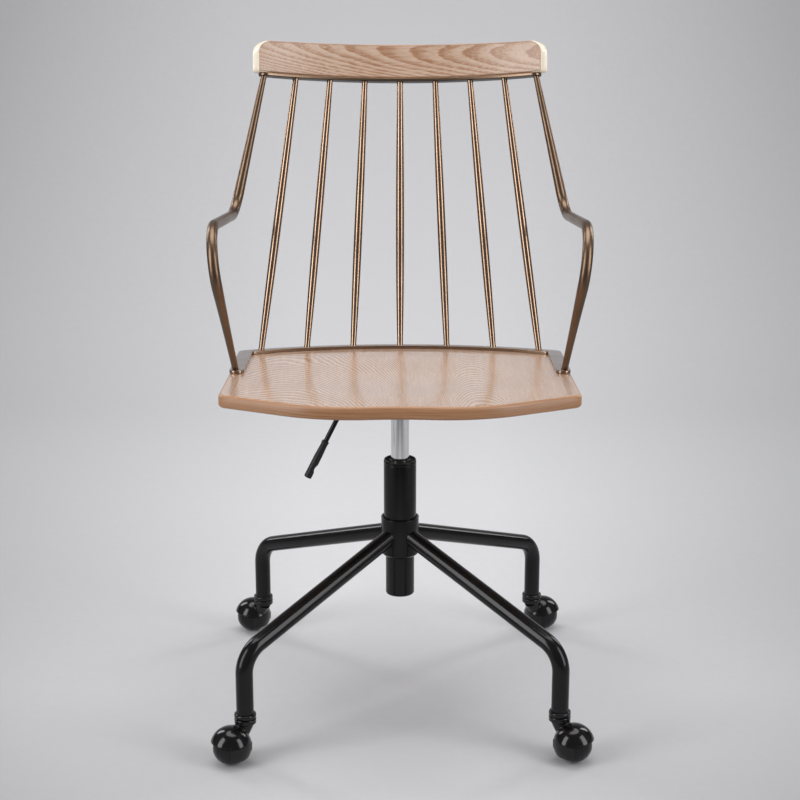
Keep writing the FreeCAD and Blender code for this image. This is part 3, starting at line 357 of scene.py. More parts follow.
def plainFinish(name):
    s, g = finishes[name], Graph(name)
    place = g.coordinates()
    fine = g.streaks(place, s["stretch"], *s["fine"][1:]) if "stretch" in s else g.noise(place, *s["fine"])
    broad = g.noise(place, *s["broad"])
    dark, light = (tuple(s.get("shade", 1.0) * c for c in colour) for colour in s["colours"])
    driver = fine if s["driver"] == "fine" else broad
    return g.finish(**{"Base Color": g.ramp(broad, [(0.3, dark), (0.7, light)]),
                       "Roughness": g.grey(driver, *s["rough"], 0.3, 0.7), "Normal": g.bump(fine, *s["bump"]),
                       **s["shader"]})


seatOak = oakSeat("limedOakSeat", seatPlace["pitch"])
seatEdgeOak = oakEdge("limedOakSeatEdge", seatPlace["pitch"])
backTilt = seatPlace["pitch"] + backPlace["recline"]
crestOak = oakCrest("limedOakCrest", backTilt)
crestEndOak = oakEnd("limedOakCrestEnd", backTilt)
crestLineOak = oakLine("limedOakCrestLine")
brass = brassFinish("antiqueBrass")
brassArm = brassFinish("antiqueBrassArm", 0.64, 0.36, 0.12)
brassFlat = brassFinish("antiqueBrassFlatBar", 0.85, 0.33, 0.9)
brassStrap = brassFinish("antiqueBrassStrap", 0.72, 0.34, 0.15)
# A near-black copy of the brass: painted shade for the strap's underside.
brassUndersidePaintedShade = brassFinish("antiqueBrassUndersidePaintedShade", 0.08, 0.42, 0.0)
enamel, chrome = plainFinish("blackPowderCoat"), plainFinish("polishedChrome")
steel, darkSteel, rubber = plainFinish("zincSteel"), plainFinish("blackenedSteel"), plainFinish("bumperRubber")
gripPlastic, wheelPlastic = plainFinish("gripPlastic"), plainFinish("wheelPlastic")
hoodPlastic, bushPlastic = plainFinish("hoodPlastic"), plainFinish("bushPlastic")
print("materials ready")


# Mesh helpers

def linked(name, data):
    made = bpy.data.objects.new(name, data)
    scene.collection.objects.link(made)
    return made


# Links a finished mesh as a piece that rides on a body and stands for some nodes.
def newPiece(name, mesh, body, replaced):
    piece = linked(name, mesh)
    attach(piece, body)
    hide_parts(*replaced)


# Empties a bmesh into a new mesh, first welded and turned outwards where asked.
def bareMesh(bm, name, clean=True):
    if clean:
        bmesh.ops.remove_doubles(bm, verts=bm.verts, dist=weldDistance)
        bmesh.ops.recalc_face_normals(bm, faces=bm.faces)
    mesh = bpy.data.meshes.new(name)
    bm.to_mesh(mesh)
    bm.free()
    return mesh


# The mesh that an object's modifiers make.
def modifiedMesh(holder):
    bpy.context.view_layer.update()
    graph = bpy.context.evaluated_depsgraph_get()
    return bpy.data.meshes.new_from_object(holder.evaluated_get(graph), depsgraph=graph)


def meshFrom(bm, name, materials, sharpAngle=38.0):
    mesh = bareMesh(bm, name)
    for material in materials:
        mesh.materials.append(material)
    mesh.polygons.foreach_set("use_smooth", [True] * len(mesh.polygons))
    mesh.set_sharp_from_angle(angle=math.radians(sharpAngle))
    return mesh


def addPiece(bm, name, materials, body, replaced, sharpAngle=38.0):
    newPiece(name, meshFrom(bm, name, materials, sharpAngle), body, replaced)


# Skins a list of closed loops of points, one quad between neighbours.
def addRings(bm, rings, closed=True, materialOf=None):
    made = [[bm.verts.new(point) for point in ring] for ring in rings]
    count = len(made[0])
    for level, (low, high) in enumerate(zip(made, made[1:])):
        for k in range(count):
            face = bm.faces.new((low[k], low[(k + 1) % count], high[(k + 1) % count], high[k]))
            if materialOf:
                face.material_index = materialOf(level)
    if closed:
        bm.faces.new(list(reversed(made[0])))
        bm.faces.new(made[-1])
    return made


def circlePoints(centre, side, other, radius, steps):
    turns = [2 * math.pi * k / steps for k in range(steps)]
    return [centre + (side * math.cos(turn) + other * math.sin(turn)) * radius for turn in turns]


# Turns (radius, height) points about an axis through origin; a radius of 0 closes the pole.
def revolve(bm, profile, origin, axis, steps=64):
    axis = Vector(axis).normalized()
    side = axis.orthogonal().normalized()
    other = axis.cross(side)
    loops = []
    for radius, height in profile:
        centre = Vector(origin) + axis * height
        if radius < 1e-9:
            loops.append([bm.verts.new(centre)])
        else:
            loops.append([bm.verts.new(point) for point in circlePoints(centre, side, other, radius, steps)])
    for low, high in zip(loops, loops[1:]):
        for k in range(steps):
            j = (k + 1) % steps
            corners = [low[k % len(low)], low[j % len(low)], high[j % len(high)], high[k % len(high)]]
            unique = [v for i, v in enumerate(corners) if v not in corners[:i]]
            if len(unique) > 2:
                bm.faces.new(unique)


# Rounds the inner corners of a (radius, height) profile.
def rounded(profile, radius, steps=4):
    result = [profile[0]]
    for before, corner, after in zip(profile, profile[1:], profile[2:]):
        b, c, a = Vector(before), Vector(corner), Vector(after)
        toBefore, toAfter = (b - c), (a - c)
        reach = min(radius, 0.45 * toBefore.length, 0.45 * toAfter.length)
        start, end = c + toBefore.normalized() * reach, c + toAfter.normalized() * reach
        for k in range(steps + 1):
            t = k / steps
            point = start * (1 - t) ** 2 + c * 2 * t * (1 - t) + end * t ** 2
            result.append((point.x, point.y))
    result.append(profile[-1])
    return result


def scaled(profile):
    return [(r * mm, h * mm) for r, h in profile]


# A piece turned about an upright axis from a profile in millimetres.
def turnedPiece(name, profile, steps, material, body, nodeName, centre=(0, 0, 0), sharpAngle=38.0):
    bm = bmesh.new()
    revolve(bm, scaled(profile), centre, (0, 0, 1), steps)
    addPiece(bm, name, [material], body, [nodeName], sharpAngle)


# A round bar of changing thickness along points, with a frame carried from point to point.
def tube(bm, points, radii, steps):
    rings, side = [], (points[1] - points[0]).normalized().orthogonal().normalized()
    for k, (point, radius) in enumerate(zip(points, radii)):
        along = (points[min(len(points) - 1, k + 1)] - points[max(0, k - 1)]).normalized()
        side = (side - along * side.dot(along)).normalized()
        rings.append(circlePoints(point, side, along.cross(side), radius, steps))
    addRings(bm, rings)


# Points round the arc that rounds a corner.
def bendPoints(before, corner, after, radius, steps=12):
    toBefore, toAfter = (before - corner).normalized(), (after - corner).normalized()
    half = toBefore.angle(toAfter) / 2
    centre = corner + (toBefore + toAfter).normalized() * (radius / math.sin(half))
    start = corner + toBefore * (radius / math.tan(half))
    end = corner + toAfter * (radius / math.tan(half))
    spin = (start - centre).cross(end - centre).normalized()
    turn = (start - centre).angle(end - centre)
    return [centre + Matrix.Rotation(turn * k / steps, 3, spin) @ (start - centre) for k in range(steps + 1)]


# Points on an arc in a plan view, both ends included.
def arcOutline(centre, radius, fromDegrees, toDegrees, steps):
    found = []
    for k in range(steps + 1):
        turn = math.radians(fromDegrees + (toDegrees - fromDegrees) * k / steps)
        found.append(Vector((centre[0] + radius * math.cos(turn), centre[1] + radius * math.sin(turn))))
    return found


def lineOutline(start, end, steps):
    start, end = Vector(start), Vector(end)
    return [start.lerp(end, k / steps) for k in range(steps + 1)]


# Drops points that nearly repeat.
def tidyOutline(points, least=0.05):
    found = [points[0]]
    for point in points[1:]:
        if (point - found[-1]).length > least:
            found.append(point)
    if (found[0] - found[-1]).length < least:
        found.pop()
    return found


def mirrored(half):
    return tidyOutline(half + [Vector((-p.x, p.y)) for p in reversed(half)])


# Inward unit normals of an anticlockwise outline.
def outlineNormals(points):
    found = []
    count = len(points)
    for k in range(count):
        along = (points[(k + 1) % count] - points[k - 1]).normalized()
        found.append(Vector((-along.y, along.x)))
    return found


# A board with round edges over a star-shaped outline; place takes (u, v, height) to the chair. Its faces get
# material 0 on the broad sides, 1 round the edge and, if outlined, 2 on the first strip where they meet.
def roundedSlab(outline, low, high, roundLow, roundHigh, centre, place, topShape=None, rings=18, arcSteps=4,
                outlined=False):
    normals = outlineNormals(outline)
    middle = Vector(centre)

    def loop(inset, height, share=1.0, shaped=False):
        ring = []
        for point, normal in zip(outline, normals):
            spot = point + normal * inset
            spot = middle + (spot - middle) * share
            rise = topShape(spot.x, spot.y) if shaped and topShape else 0.0
            ring.append(place(spot.x, spot.y, height + rise))
        return ring

    shares = [k / rings for k in range(1, rings)]
    levels = [loop(roundLow, low, share) for share in shares]
    for k in range(arcSteps + 1):
        turn = math.pi / 2 * k / arcSteps
        levels.append(loop(roundLow * (1 - math.sin(turn)), low + roundLow * (1 - math.cos(turn))))
    firstSide = len(shares) + 1
    for k in range(arcSteps + 1):
        turn = math.pi / 2 * k / arcSteps
        levels.append(loop(roundHigh * (1 - math.cos(turn)), high - roundHigh * (1 - math.sin(turn))))
    lastSide = len(levels) - 3
    levels += [loop(roundHigh, high, share, True) for share in reversed(shares)]

    def materialAt(level):
        if outlined and level in (firstSide - 1, lastSide + 1):
            return 2
        return 1 if firstSide <= level <= lastSide else 0

    bm = bmesh.new()
    made = addRings(bm, levels, False, materialAt)
    for ring, height, shaped in ((made[0], low, False), (made[-1], high, True)):
        rise = topShape(middle.x, middle.y) if shaped and topShape else 0.0
        hub = bm.verts.new(place(middle.x, middle.y, height + rise))
        for k in range(len(ring)):
            pair = (ring[k], ring[(k + 1) % len(ring)])
            bm.faces.new((hub, *pair) if shaped else (hub, *reversed(pair)))
    return bm


# Rounds edges off in a few flat steps.
def bevelEdges(bm, edges, offset, segments):
    bmesh.ops.bevel(bm, geom=edges, offset=offset, segments=segments, profile=0.5, affect="EDGES",
                    clamp_overlap=True)


# A flat bar of any outline with slightly rounded upper and lower edges.
def flatBar(outline, low, high, edge, place):
    bm = bmesh.new()
    addRings(bm, [[(p.x, p.y, height) for p in outline] for height in (low, high)])
    bm.normal_update()
    rims = [e for e in bm.edges if abs(e.verts[0].co.z - e.verts[1].co.z) < 1e-6]
    bevelEdges(bm, rims, edge, 3)
    for vertex in bm.verts:
        vertex.co = place(vertex.co.x, vertex.co.y, vertex.co.z)
    bmesh.ops.triangulate(bm, faces=[f for f in bm.faces if len(f.verts) > 4])
    return bm


# A merged copy of a CAD node with its hard edges eased.
def softCopy(name, nodeName, body, material, edge, sharpAngle=35.0):
    bm = bmesh.new()
    bm.from_mesh(nodes[nodeName].data)
    bmesh.ops.remove_doubles(bm, verts=bm.verts, dist=10 * weldDistance)
    bmesh.ops.dissolve_limit(bm, angle_limit=math.radians(0.5), verts=bm.verts, edges=bm.edges)
    hard = [e for e in bm.edges if len(e.link_faces) == 2 and e.calc_face_angle(0) > math.radians(sharpAngle)]
    bevelEdges(bm, hard, edge * mm, 2)
    addPiece(bm, name, [material], body, [nodeName], sharpAngle)


# Seat

seatSizes = {"thickness": 19.0, "halfWidth": 259.0, "rearReach": 241.0, "rearRadius": 577.0,
             "frontReach": 245.0, "lobeOffset": 66.0, "lobeRadius": 185.0, "lobeSlope": 32.0,
             "dipRadius": 300.0, "frontCorner": 20.0, "rearCorner": 18.0, "topRound": 4.5, "bottomRound": 4.5,
             "dishWide": 205.0, "dishLong": 185.0, "dishDepth": 4.5, "dishCentre": -12.0, "fanCentre": -5.0}


def seatOutline(s):
    crownY = -s["frontReach"] + s["lobeRadius"]
    dipY = crownY - math.sqrt((s["lobeRadius"] + s["dipRadius"]) ** 2 - s["lobeOffset"] ** 2)
    meet = math.degrees(math.atan2(crownY - dipY, s["lobeOffset"]))
    half = arcOutline((0, dipY), s["dipRadius"], 90, meet, 10)
    half += arcOutline((s["lobeOffset"], crownY), s["lobeRadius"], meet - 180, s["lobeSlope"] - 90, 24)
    slope = math.radians(s["lobeSlope"])
    lobeEnd = half[-1]
    corner = Vector((s["halfWidth"], lobeEnd.y + (s["halfWidth"] - lobeEnd.x) * math.tan(slope)))
    reach = s["frontCorner"] * math.tan((math.pi / 2 - slope) / 2)
    start = corner - Vector((math.cos(slope), math.sin(slope))) * reach
    half += lineOutline(lobeEnd, start, 10)
    half += arcOutline((s["halfWidth"] - s["frontCorner"], corner.y + reach), s["frontCorner"],
                       s["lobeSlope"] - 90, 0, 8)
    rearCentre = s["rearReach"] - s["rearRadius"]
    filletX = s["halfWidth"] - s["rearCorner"]
    inner = s["rearRadius"] - s["rearCorner"]
    filletY = rearCentre + math.sqrt(inner ** 2 - filletX ** 2)
    half += lineOutline(half[-1], (s["halfWidth"], filletY), 30)
    rearTurn = math.degrees(math.atan2(filletY - rearCentre, filletX))
    half += arcOutline((filletX, filletY), s["rearCorner"], 0, rearTurn, 8)
    half += arcOutline((0, rearCentre), s["rearRadius"], rearTurn, 90, 30)
    return mirrored(half)


def seatHollow(x, y):
    s = seatSizes
    off = (x / s["dishWide"]) ** 2 + ((y - s["dishCentre"]) / s["dishLong"]) ** 2
    return -s["dishDepth"] * (1 - off) ** 2 if off < 1 else 0.0


def makeSeat():
    s = seatSizes
    bm = roundedSlab(seatOutline(s), -s["thickness"], 0.0, s["bottomRound"], s["topRound"],
                     (0, s["fanCentre"]), inSeat, seatHollow, rings=26, arcSteps=5)
    addPiece(bm, "seatBoard", [seatOak, seatEdgeOak], "seat", ["seat"])


makeSeat()
print("seat ready")


# Crest rail and strap

crestSizes = {"radius": 420.0, "setBack": 3.0, "low": 433.5, "thickness": 21.0, "height": 54.5, "fall": 4.5,
              "endAngle": 33.3, "corner": 20.0, "lowCorner": 3.0, "edge": 2.6}
strapSizes = {"width": 23.0, "thickness": 5.0, "low": 428.5, "endAngle": 30.75, "edge": 0.9,
              "paintedShadeFacing": 0.6}
crestCentre = crestSizes["setBack"] - crestSizes["radius"]


# Bends a straight board round the crest's arc; depth grows towards the rear.
def crestPlace(along, height, depth):
    s = crestSizes
    turn = along / s["radius"]
    radius = s["radius"] + depth
    return inBack(radius * math.sin(turn), crestCentre + radius * math.cos(turn), height)


def crestOutline(s):
    halfLength = s["radius"] * math.radians(s["endAngle"])
    top = s["low"] + s["height"]
    crown = (halfLength ** 2 + s["fall"] ** 2) / (2 * s["fall"])
    centreHeight = top - crown
    filletAlong = halfLength - s["corner"]
    filletHeight = centreHeight + math.sqrt((crown - s["corner"]) ** 2 - filletAlong ** 2)
    crownTurn = math.degrees(math.atan2(filletHeight - centreHeight, filletAlong))
    small = s["lowCorner"]
    half = lineOutline((0, s["low"]), (halfLength - small, s["low"]), 44)
    half += arcOutline((halfLength - small, s["low"] + small), small, -90, 0, 4)
    half += lineOutline((halfLength, s["low"] + small), (halfLength, filletHeight), 5)
    half += arcOutline((filletAlong, filletHeight), s["corner"], 0, crownTurn, 10)
    half += arcOutline((0, centreHeight), crown, crownTurn, 90, 44)
    return mirrored(half)


def makeCrest():
    s = crestSizes
    halfThick = s["thickness"] / 2
    bm = roundedSlab(crestOutline(s), -halfThick, halfThick, s["edge"], s["edge"],
                     (0, s["low"] + s["height"] / 2), crestPlace, rings=14, arcSteps=4, outlined=True)
    addPiece(bm, "crestRail", [crestOak, crestEndOak, crestLineOak], "seat", ["crest_rail"])


def makeStrap():
    s, centreY = strapSizes, crestCentre
    mid, half = crestSizes["radius"], s["width"] / 2
    low, high = 90 - s["endAngle"], 90 + s["endAngle"]
    outline = arcOutline((0, centreY), mid + half, low, high, 72)
    endX, endY = onArc(mid, -s["endAngle"], centreY)
    outline += arcOutline((endX, endY), half, high, high + 180, 14)
    outline += list(reversed(arcOutline((0, centreY), mid - half, low, high, 72)))
    endX, endY = onArc(mid, s["endAngle"], centreY)
    outline += arcOutline((endX, endY), half, low - 180, low, 14)
    bm = flatBar(tidyOutline(outline), s["low"], s["low"] + s["thickness"], s["edge"], inBack)
    bm.normal_update()
    # Faces that look down get the near-black brass: painted shade under the strap.
    down = backMatrix.to_3x3() @ Vector((0, 0, -1))
    for face in bm.faces:
        if face.normal.dot(down) > s["paintedShadeFacing"]:
            face.material_index = 1
    addPiece(bm, "crestStrap", [brassStrap, brassUndersidePaintedShade], "seat", ["crest_strap"])


makeCrest()
makeStrap()
print("crest ready")


# Flat bar frame on the seat

frameSizes = {"inset": 1.0, "thickness": 5.5, "railWidth": 14.0, "plateWidth": 22.0, "plateRear": 18.0,
              "split": 21.3, "footReach": 11.0, "cornerInside": 6.0, "edge": 0.8}


def makeRail():
    s, centreY = frameSizes, backPlace["rearCentre"]
    outer = seatSizes["rearRadius"] - s["inset"]
    low, high = 90 - s["split"], 90 + s["split"]
    outline = arcOutline((0, centreY), outer, low, high, 60)
    outline += list(reversed(arcOutline((0, centreY), outer - s["railWidth"], low, high, 60)))
    bm = flatBar(tidyOutline(outline), 0.0, s["thickness"], s["edge"], inSeat)
    addPiece(bm, "rearRail", [brassFlat], "seat", ["rear_rail"])


def makeCornerPlate(side, word):
    s, centreY = frameSizes, backPlace["rearCentre"]
    outer = seatSizes["rearRadius"] - s["inset"]
    wide = seatSizes["halfWidth"] - s["inset"]
    inX = wide - s["plateWidth"]
    padX, padR = wide - s["plateWidth"] / 2, s["plateWidth"] / 2
    fillet = seatSizes["rearCorner"] - s["inset"]
    filletX = wide - fillet
    filletY = centreY + math.sqrt((outer - fillet) ** 2 - filletX ** 2)
    rearTurn = math.degrees(math.atan2(filletY - centreY, filletX))
    endTurn = 90 - s["split"]
    inner = outer - s["plateRear"]
    soft = s["cornerInside"]
    softX = inX - soft
    softY = centreY + math.sqrt((inner - soft) ** 2 - softX ** 2)
    softTurn = math.degrees(math.atan2(softY - centreY, softX))
    outline = arcOutline((padX, s["footReach"]), padR, 180, 360, 20)
    outline += lineOutline((wide, s["footReach"]), (wide, filletY), 4)
    outline += arcOutline((filletX, filletY), fillet, 0, rearTurn, 10)
    outline += arcOutline((0, centreY), outer, rearTurn, endTurn, 8)
    outline += arcOutline((0, centreY), inner, endTurn, softTurn, 6)
    outline += arcOutline((softX, softY), soft, softTurn, 0, 6)
    outline += lineOutline((inX, softY), (inX, s["footReach"]), 4)
    outline = tidyOutline([Vector((side * p.x, p.y)) for p in outline])
    if side < 0:
        outline.reverse()
    bm = flatBar(outline, 0.0, s["thickness"], s["edge"], inSeat)
    addPiece(bm, "cornerPlate" + word, [brassFlat], "seat", ["corner_plate_" + word.lower()])


makeRail()
makeCornerPlate(-1, "Left")
makeCornerPlate(1, "Right")
print("flat bar frame ready")


# Geometry nodes: spindles

spindleSizes = {"count": 7, "footPitch": 7.7, "topPitch": 7.87, "sunk": 1.2}
# The tree's inputs: lengths, then shares of a bar's length and counts.
spindleLengths = {"footRadius": 4.6, "bellyRadius": 6.7, "topRadius": 4.7, "fillet": 0.5}
spindleShares = {"bellyShare": 0.42, "filletShare": 0.008, "rings": 90, "sides": 28}


# A node group for a Geometry Nodes modifier, with named inputs.
class GeometryTree(NodeTree):
    def __init__(self, name, inputs):
        self.tree = bpy.data.node_groups.new(name, "GeometryNodeTree")
        face = self.tree.interface
        face.new_socket("Geometry", in_out="INPUT", socket_type="NodeSocketGeometry")
        face.new_socket("Geometry", in_out="OUTPUT", socket_type="NodeSocketGeometry")
        kinds = {float: "NodeSocketFloat", int: "NodeSocketInt"}
        for label, value in inputs.items():
            kind = kinds.get(type(value), "NodeSocketMaterial")
            face.new_socket(label, in_out="INPUT", socket_type=kind).default_value = value
        self.start = self.tree.nodes.new("NodeGroupInput")
        self.end = self.tree.nodes.new("NodeGroupOutput")

    def given(self, label):
        return self.start.outputs[label]

    def finish(self, geometry, material):
        real = self.add("GeometryNodeRealizeInstances", {"Geometry": geometry}).outputs[0]
        painted = self.add("GeometryNodeSetMaterial", {"Geometry": real, "Material": material}).outputs[0]
        self.feed(self.end.inputs[0], painted)
        return self.tree


# Runs a tree on a carrier mesh and gives the result as a plain mesh.
def grown(name, carrier, tree, values):
    holder = linked(name + "Carrier", carrier)
    modifier = holder.modifiers.new("grow", "NODES")
    modifier.node_group = tree
    for item in tree.interface.items_tree:
        if getattr(item, "in_out", "") == "INPUT" and item.name in values:
            modifier[item.identifier] = values[item.name]
    mesh = modifiedMesh(holder)
    holder.modifiers.remove(modifier)
    bpy.data.objects.remove(holder)
    mesh.name = name
    return mesh


# Each edge of the carrier becomes a turned bar, thin at both ends, with a small weld fillet.
def spindleTree(inputs):
    t = GeometryTree("spindleBars", inputs)
    curve = t.add("GeometryNodeMeshToCurve", {"Mesh": t.given("Geometry")}).outputs[0]
    curve = t.add("GeometryNodeResampleCurve", {"Curve": curve, "Count": t.given("rings")}).outputs[0]
    share = t.add("GeometryNodeSplineParameter").outputs["Factor"]
    belly = t.given("bellyShare")
    below = t.math("DIVIDE", t.minus(belly, share), belly)
    above = t.math("DIVIDE", t.minus(share, belly), t.minus(1.0, belly))
    isAbove = t.math("GREATER_THAN", share, belly)
    off = t.math("MAXIMUM", below, above)
    end = t.add("ShaderNodeMix", {0: isAbove, 2: t.given("footRadius"), 3: t.given("topRadius")},
                data_type="FLOAT").outputs[0]
    drop = t.minus(t.given("bellyRadius"), end)
    radius = t.minus(t.given("bellyRadius"), t.times(drop, t.times(off, off)))
    nearEnd = t.math("MINIMUM", share, t.minus(1.0, share))
    lift = t.math("MAXIMUM", t.minus(1.0, t.math("DIVIDE", nearEnd, t.given("filletShare"))), 0.0)
    radius = t.plus(radius, t.times(t.times(lift, lift), t.given("fillet")))
    curve = t.add("GeometryNodeSetCurveRadius", {"Curve": curve, "Radius": radius}).outputs[0]
    profile = {"Resolution": t.given("sides"), "Radius": 1.0}
    circle = t.add("GeometryNodeCurvePrimitiveCircle", profile).outputs[0]
    bars = t.add("GeometryNodeCurveToMesh", {"Curve": curve, "Profile Curve": circle, "Fill Caps": True})
    for socket in bars.inputs:
        if socket.name == "Scale" and socket.enabled:
            t.feed(socket, radius)
    smooth = t.add("GeometryNodeSetShadeSmooth", {"Geometry": bars.outputs[0]}).outputs[0]
    return t.finish(smooth, t.given("finish"))


def makeSpindles():
    s = spindleSizes
    carrier = bpy.data.meshes.new("spindleLines")
    points, edges = [], []
    for k in range(s["count"]):
        step = k - (s["count"] - 1) / 2
        footX, footY = onArc(backPlace["railMiddle"], step * s["footPitch"], backPlace["rearCentre"])
        topX, topY = onArc(crestSizes["radius"], step * s["topPitch"], crestCentre)
        foot = inSeat(footX, footY, frameSizes["thickness"])
        top = inBack(topX, topY, strapSizes["low"])
        spare = (top - foot).normalized() * s["sunk"] * mm
        points += [foot - spare, top + spare]
        edges.append((2 * k, 2 * k + 1))
    carrier.from_pydata(points, edges, [])
    values = {key: value * mm for key, value in spindleLengths.items()} | spindleShares | {"finish": brass}
    mesh = grown("spindles", carrier, spindleTree(values), values)
    mesh.set_sharp_from_angle(angle=math.radians(50))
    newPiece("spindles", mesh, "seat", [f"spindle_{k + 1}" for k in range(s["count"])])


makeSpindles()
print("spindles ready")


# Arms

armSizes = {"radius": 8.1, "topRadius": 4.6, "footRadius": 4.9, "waistRadius": 6.0, "footX": 248.5,
            "front": (278.5, -105.0, 228.0), "rear": (265.8, 222.0, 220.0), "frontBend": 60.0, "rearBend": 40.0,
            "topAngle": 31.2, "fillet": 0.4, "filletLength": 4.0, "sunk": 1.0,
            "bendSteps": (22, 18), "postSteps": 40, "restSteps": 24, "sides": 40}


def makeArm(side, word):
    s = armSizes
    foot = inSeat(side * s["footX"], frameSizes["footReach"], frameSizes["thickness"] - s["sunk"])
    front = inSeat(side * s["front"][0], *s["front"][1:])
    rear = inSeat(side * s["rear"][0], *s["rear"][1:])
    topX, topY = onArc(crestSizes["radius"], s["topAngle"], crestCentre)
    top = inBack(side * topX, topY, strapSizes["low"] + s["sunk"])
    frontArc = bendPoints(foot, front, rear, s["frontBend"] * mm, s["bendSteps"][0])
    rearArc = bendPoints(front, rear, top, s["rearBend"] * mm, s["bendSteps"][1])
    points, radii = [], []
    full, waist, low = s["radius"] * mm, s["waistRadius"] * mm, s["footRadius"] * mm
    postSteps, restSteps, reach = s["postSteps"], s["restSteps"], s["filletLength"] * mm
    postLength = (frontArc[0] - foot).length
    for k in range(postSteps):
        t = k / postSteps
        # Through the foot, waist and full radius at 0, 1/2 and 1.
        flowing = low * (1 - t) * (1 - 2 * t) + 4 * waist * t * (1 - t) + full * t * (2 * t - 1)
        flare = max(0.0, 1 - t * postLength / reach) ** 2 * s["fillet"] * mm
        points.append(foot.lerp(frontArc[0], t))
        radii.append(flowing + flare)
    points += frontArc
    radii += [full] * len(frontArc)
    points += [frontArc[-1].lerp(rearArc[0], k / restSteps) for k in range(1, restSteps)]
    radii += [full] * (restSteps - 1)
    points += rearArc
    radii += [full] * len(rearArc)
    riseLength = (top - rearArc[-1]).length
    for k in range(1, postSteps + 1):
        t = k / postSteps
        flare = max(0.0, 1 - (1 - t) * riseLength / reach) ** 2 * s["fillet"] * mm
        points.append(rearArc[-1].lerp(top, t))
        radii.append(full + (s["topRadius"] * mm - full) * t + flare)
    bm = bmesh.new()
    tube(bm, points, radii, s["sides"])
    addPiece(bm, "arm" + word, [brassArm], "seat", ["arm_" + word.lower()], 60)


makeArm(-1, "Left")
makeArm(1, "Right")
print("arms ready")


# Lift and column

liftSizes = {"tubeRadius": 14.0, "tubeTop": 484.0, "tubeBottom": 259.0, "socketBottom": 452.0, "taper": 0.8,
             "tubeRound": 1.0, "steps": 96}
columnSizes = {"radius": 25.0, "top": 380.5, "wall": 2.0, "depth": 40.0, "foot": 22.1, "bottom": 165.0,
               "footRound": 3.0, "round": 0.7, "groove": (4.2, 3.6, 3.0), "grooveDepth": 0.6}
hubSizes = {"top": 291.0, "bottom": 229.0, "inside": 20.0, "footRadius": 25.0, "footHeight": 4.0,
            "radius": 29.0, "topRadius": 26.0, "gapRadii": (25.4, 24.6), "gapDepth": 2.5, "round": 0.7}
# The bush: rim distances are taken inwards from the column's outside, ring ones outwards from the bore.
bushSizes = {"play": 0.1, "depth": 30.0, "lip": 2.5, "rimOuter": 0.7, "rimInner": 2.4, "dishOuter": 3.2,
             "dishDepth": 4.0, "ringFoot": 2.6, "ringTop": 2.0, "ringDrop": 0.8, "round": 0.6}


def makePressureTube():
    s = liftSizes
    r = s["tubeRadius"]
    outline = [(0, s["tubeBottom"]), (r, s["tubeBottom"]), (r, s["socketBottom"]),
               (r - s["taper"], s["tubeTop"]), (0, s["tubeTop"])]
    turnedPiece("pressureTube", rounded(outline, s["tubeRound"]), 72, chrome, "seat",
                "pressure_tube")


def makeColumn():
    s, b = columnSizes, bushSizes
    r, top, inside = s["radius"], s["top"], s["radius"] - s["wall"]
    low, middle, high = s["groove"]
    outline = [(0, s["bottom"]), (s["foot"], s["bottom"]), (s["foot"], hubSizes["bottom"]),
               (r, hubSizes["top"]), (r, top - low), (r - s["grooveDepth"], top - middle), (r, top - high),
               (r, top), (inside, top), (inside, top - s["depth"]), (0, top - s["depth"])]
    shaped = rounded(outline[:3], s["footRound"], 6)[:-1] + rounded(outline[2:], s["round"], 3)
    turnedPiece("columnTube", shaped, liftSizes["steps"], enamel, "base", "column_tube")
    bore, lip = liftSizes["tubeRadius"] + b["play"], top + b["lip"]
    start, dish = (bore, top - b["depth"]), lip - b["dishDepth"]
    outline = [start, (inside, top - b["depth"]), (inside, top), (r - b["rimOuter"], top),
               (r - b["rimOuter"], lip), (r - b["rimInner"], lip), (r - b["dishOuter"], dish),
               (bore + b["ringFoot"], dish),
               (bore + b["ringTop"], lip - b["ringDrop"]), (bore, lip - b["ringDrop"]), start]
    turnedPiece("guideBush", rounded(outline, b["round"], 3), liftSizes["steps"], bushPlastic, "base",
                "guide_bush", sharpAngle=50)


def makeHub():
    s = hubSizes
    closing = (s["inside"], s["bottom"])
    gap = [(radius, s["top"] - s["gapDepth"]) for radius in s["gapRadii"]]
    outline = [closing, (s["footRadius"], s["bottom"]), (s["radius"], s["bottom"] + s["footHeight"]),
               (s["radius"], s["top"]), (s["topRadius"], s["top"])] + gap
    turnedPiece("hubCollar", rounded(outline, s["round"]) + [closing], liftSizes["steps"], enamel, "base",
                "hub_collar")


makePressureTube()
makeColumn()
makeHub()
print("lift and column ready")


# Legs

legSizes = {"count": 4, "turn": 1.0, "radius": 12.7, "reach": 322.5, "slope": 18.6, "hubHeight": 269.5,
            "bend": 42.0, "endHeight": 71.0, "start": 24.0, "innerSteps": 16, "bendSteps": 20, "footSteps": 6,
            "sides": 48}


def legDirection(number):
    turn = math.radians(225 + legSizes["turn"] + 90 * number)
    return Vector((math.cos(turn), math.sin(turn), 0))


def makeLeg(number):
    s = legSizes
    out = legDirection(number)
    fall = math.tan(math.radians(s["slope"]))

    def spot(r, z):
        return out * r * mm + Vector((0, 0, z * mm))

    inner = spot(s["start"], s["hubHeight"] - fall * s["start"])
    corner = spot(s["reach"], s["hubHeight"] - fall * s["reach"])
    foot = spot(s["reach"], s["endHeight"])
    arc = bendPoints(inner, corner, foot, s["bend"] * mm, s["bendSteps"])
    points = [inner.lerp(arc[0], k / s["innerSteps"]) for k in range(s["innerSteps"])] + arc
    points += [arc[-1].lerp(foot, k / s["footSteps"]) for k in range(1, s["footSteps"] + 1)]
    bm = bmesh.new()
    tube(bm, points, [s["radius"] * mm] * len(points), s["sides"])
    addPiece(bm, f"leg{number + 1}", [enamel], "base", [f"leg_{number + 1}"], 50)


for number in range(legSizes["count"]):
    makeLeg(number)
print("legs ready")


# Casters

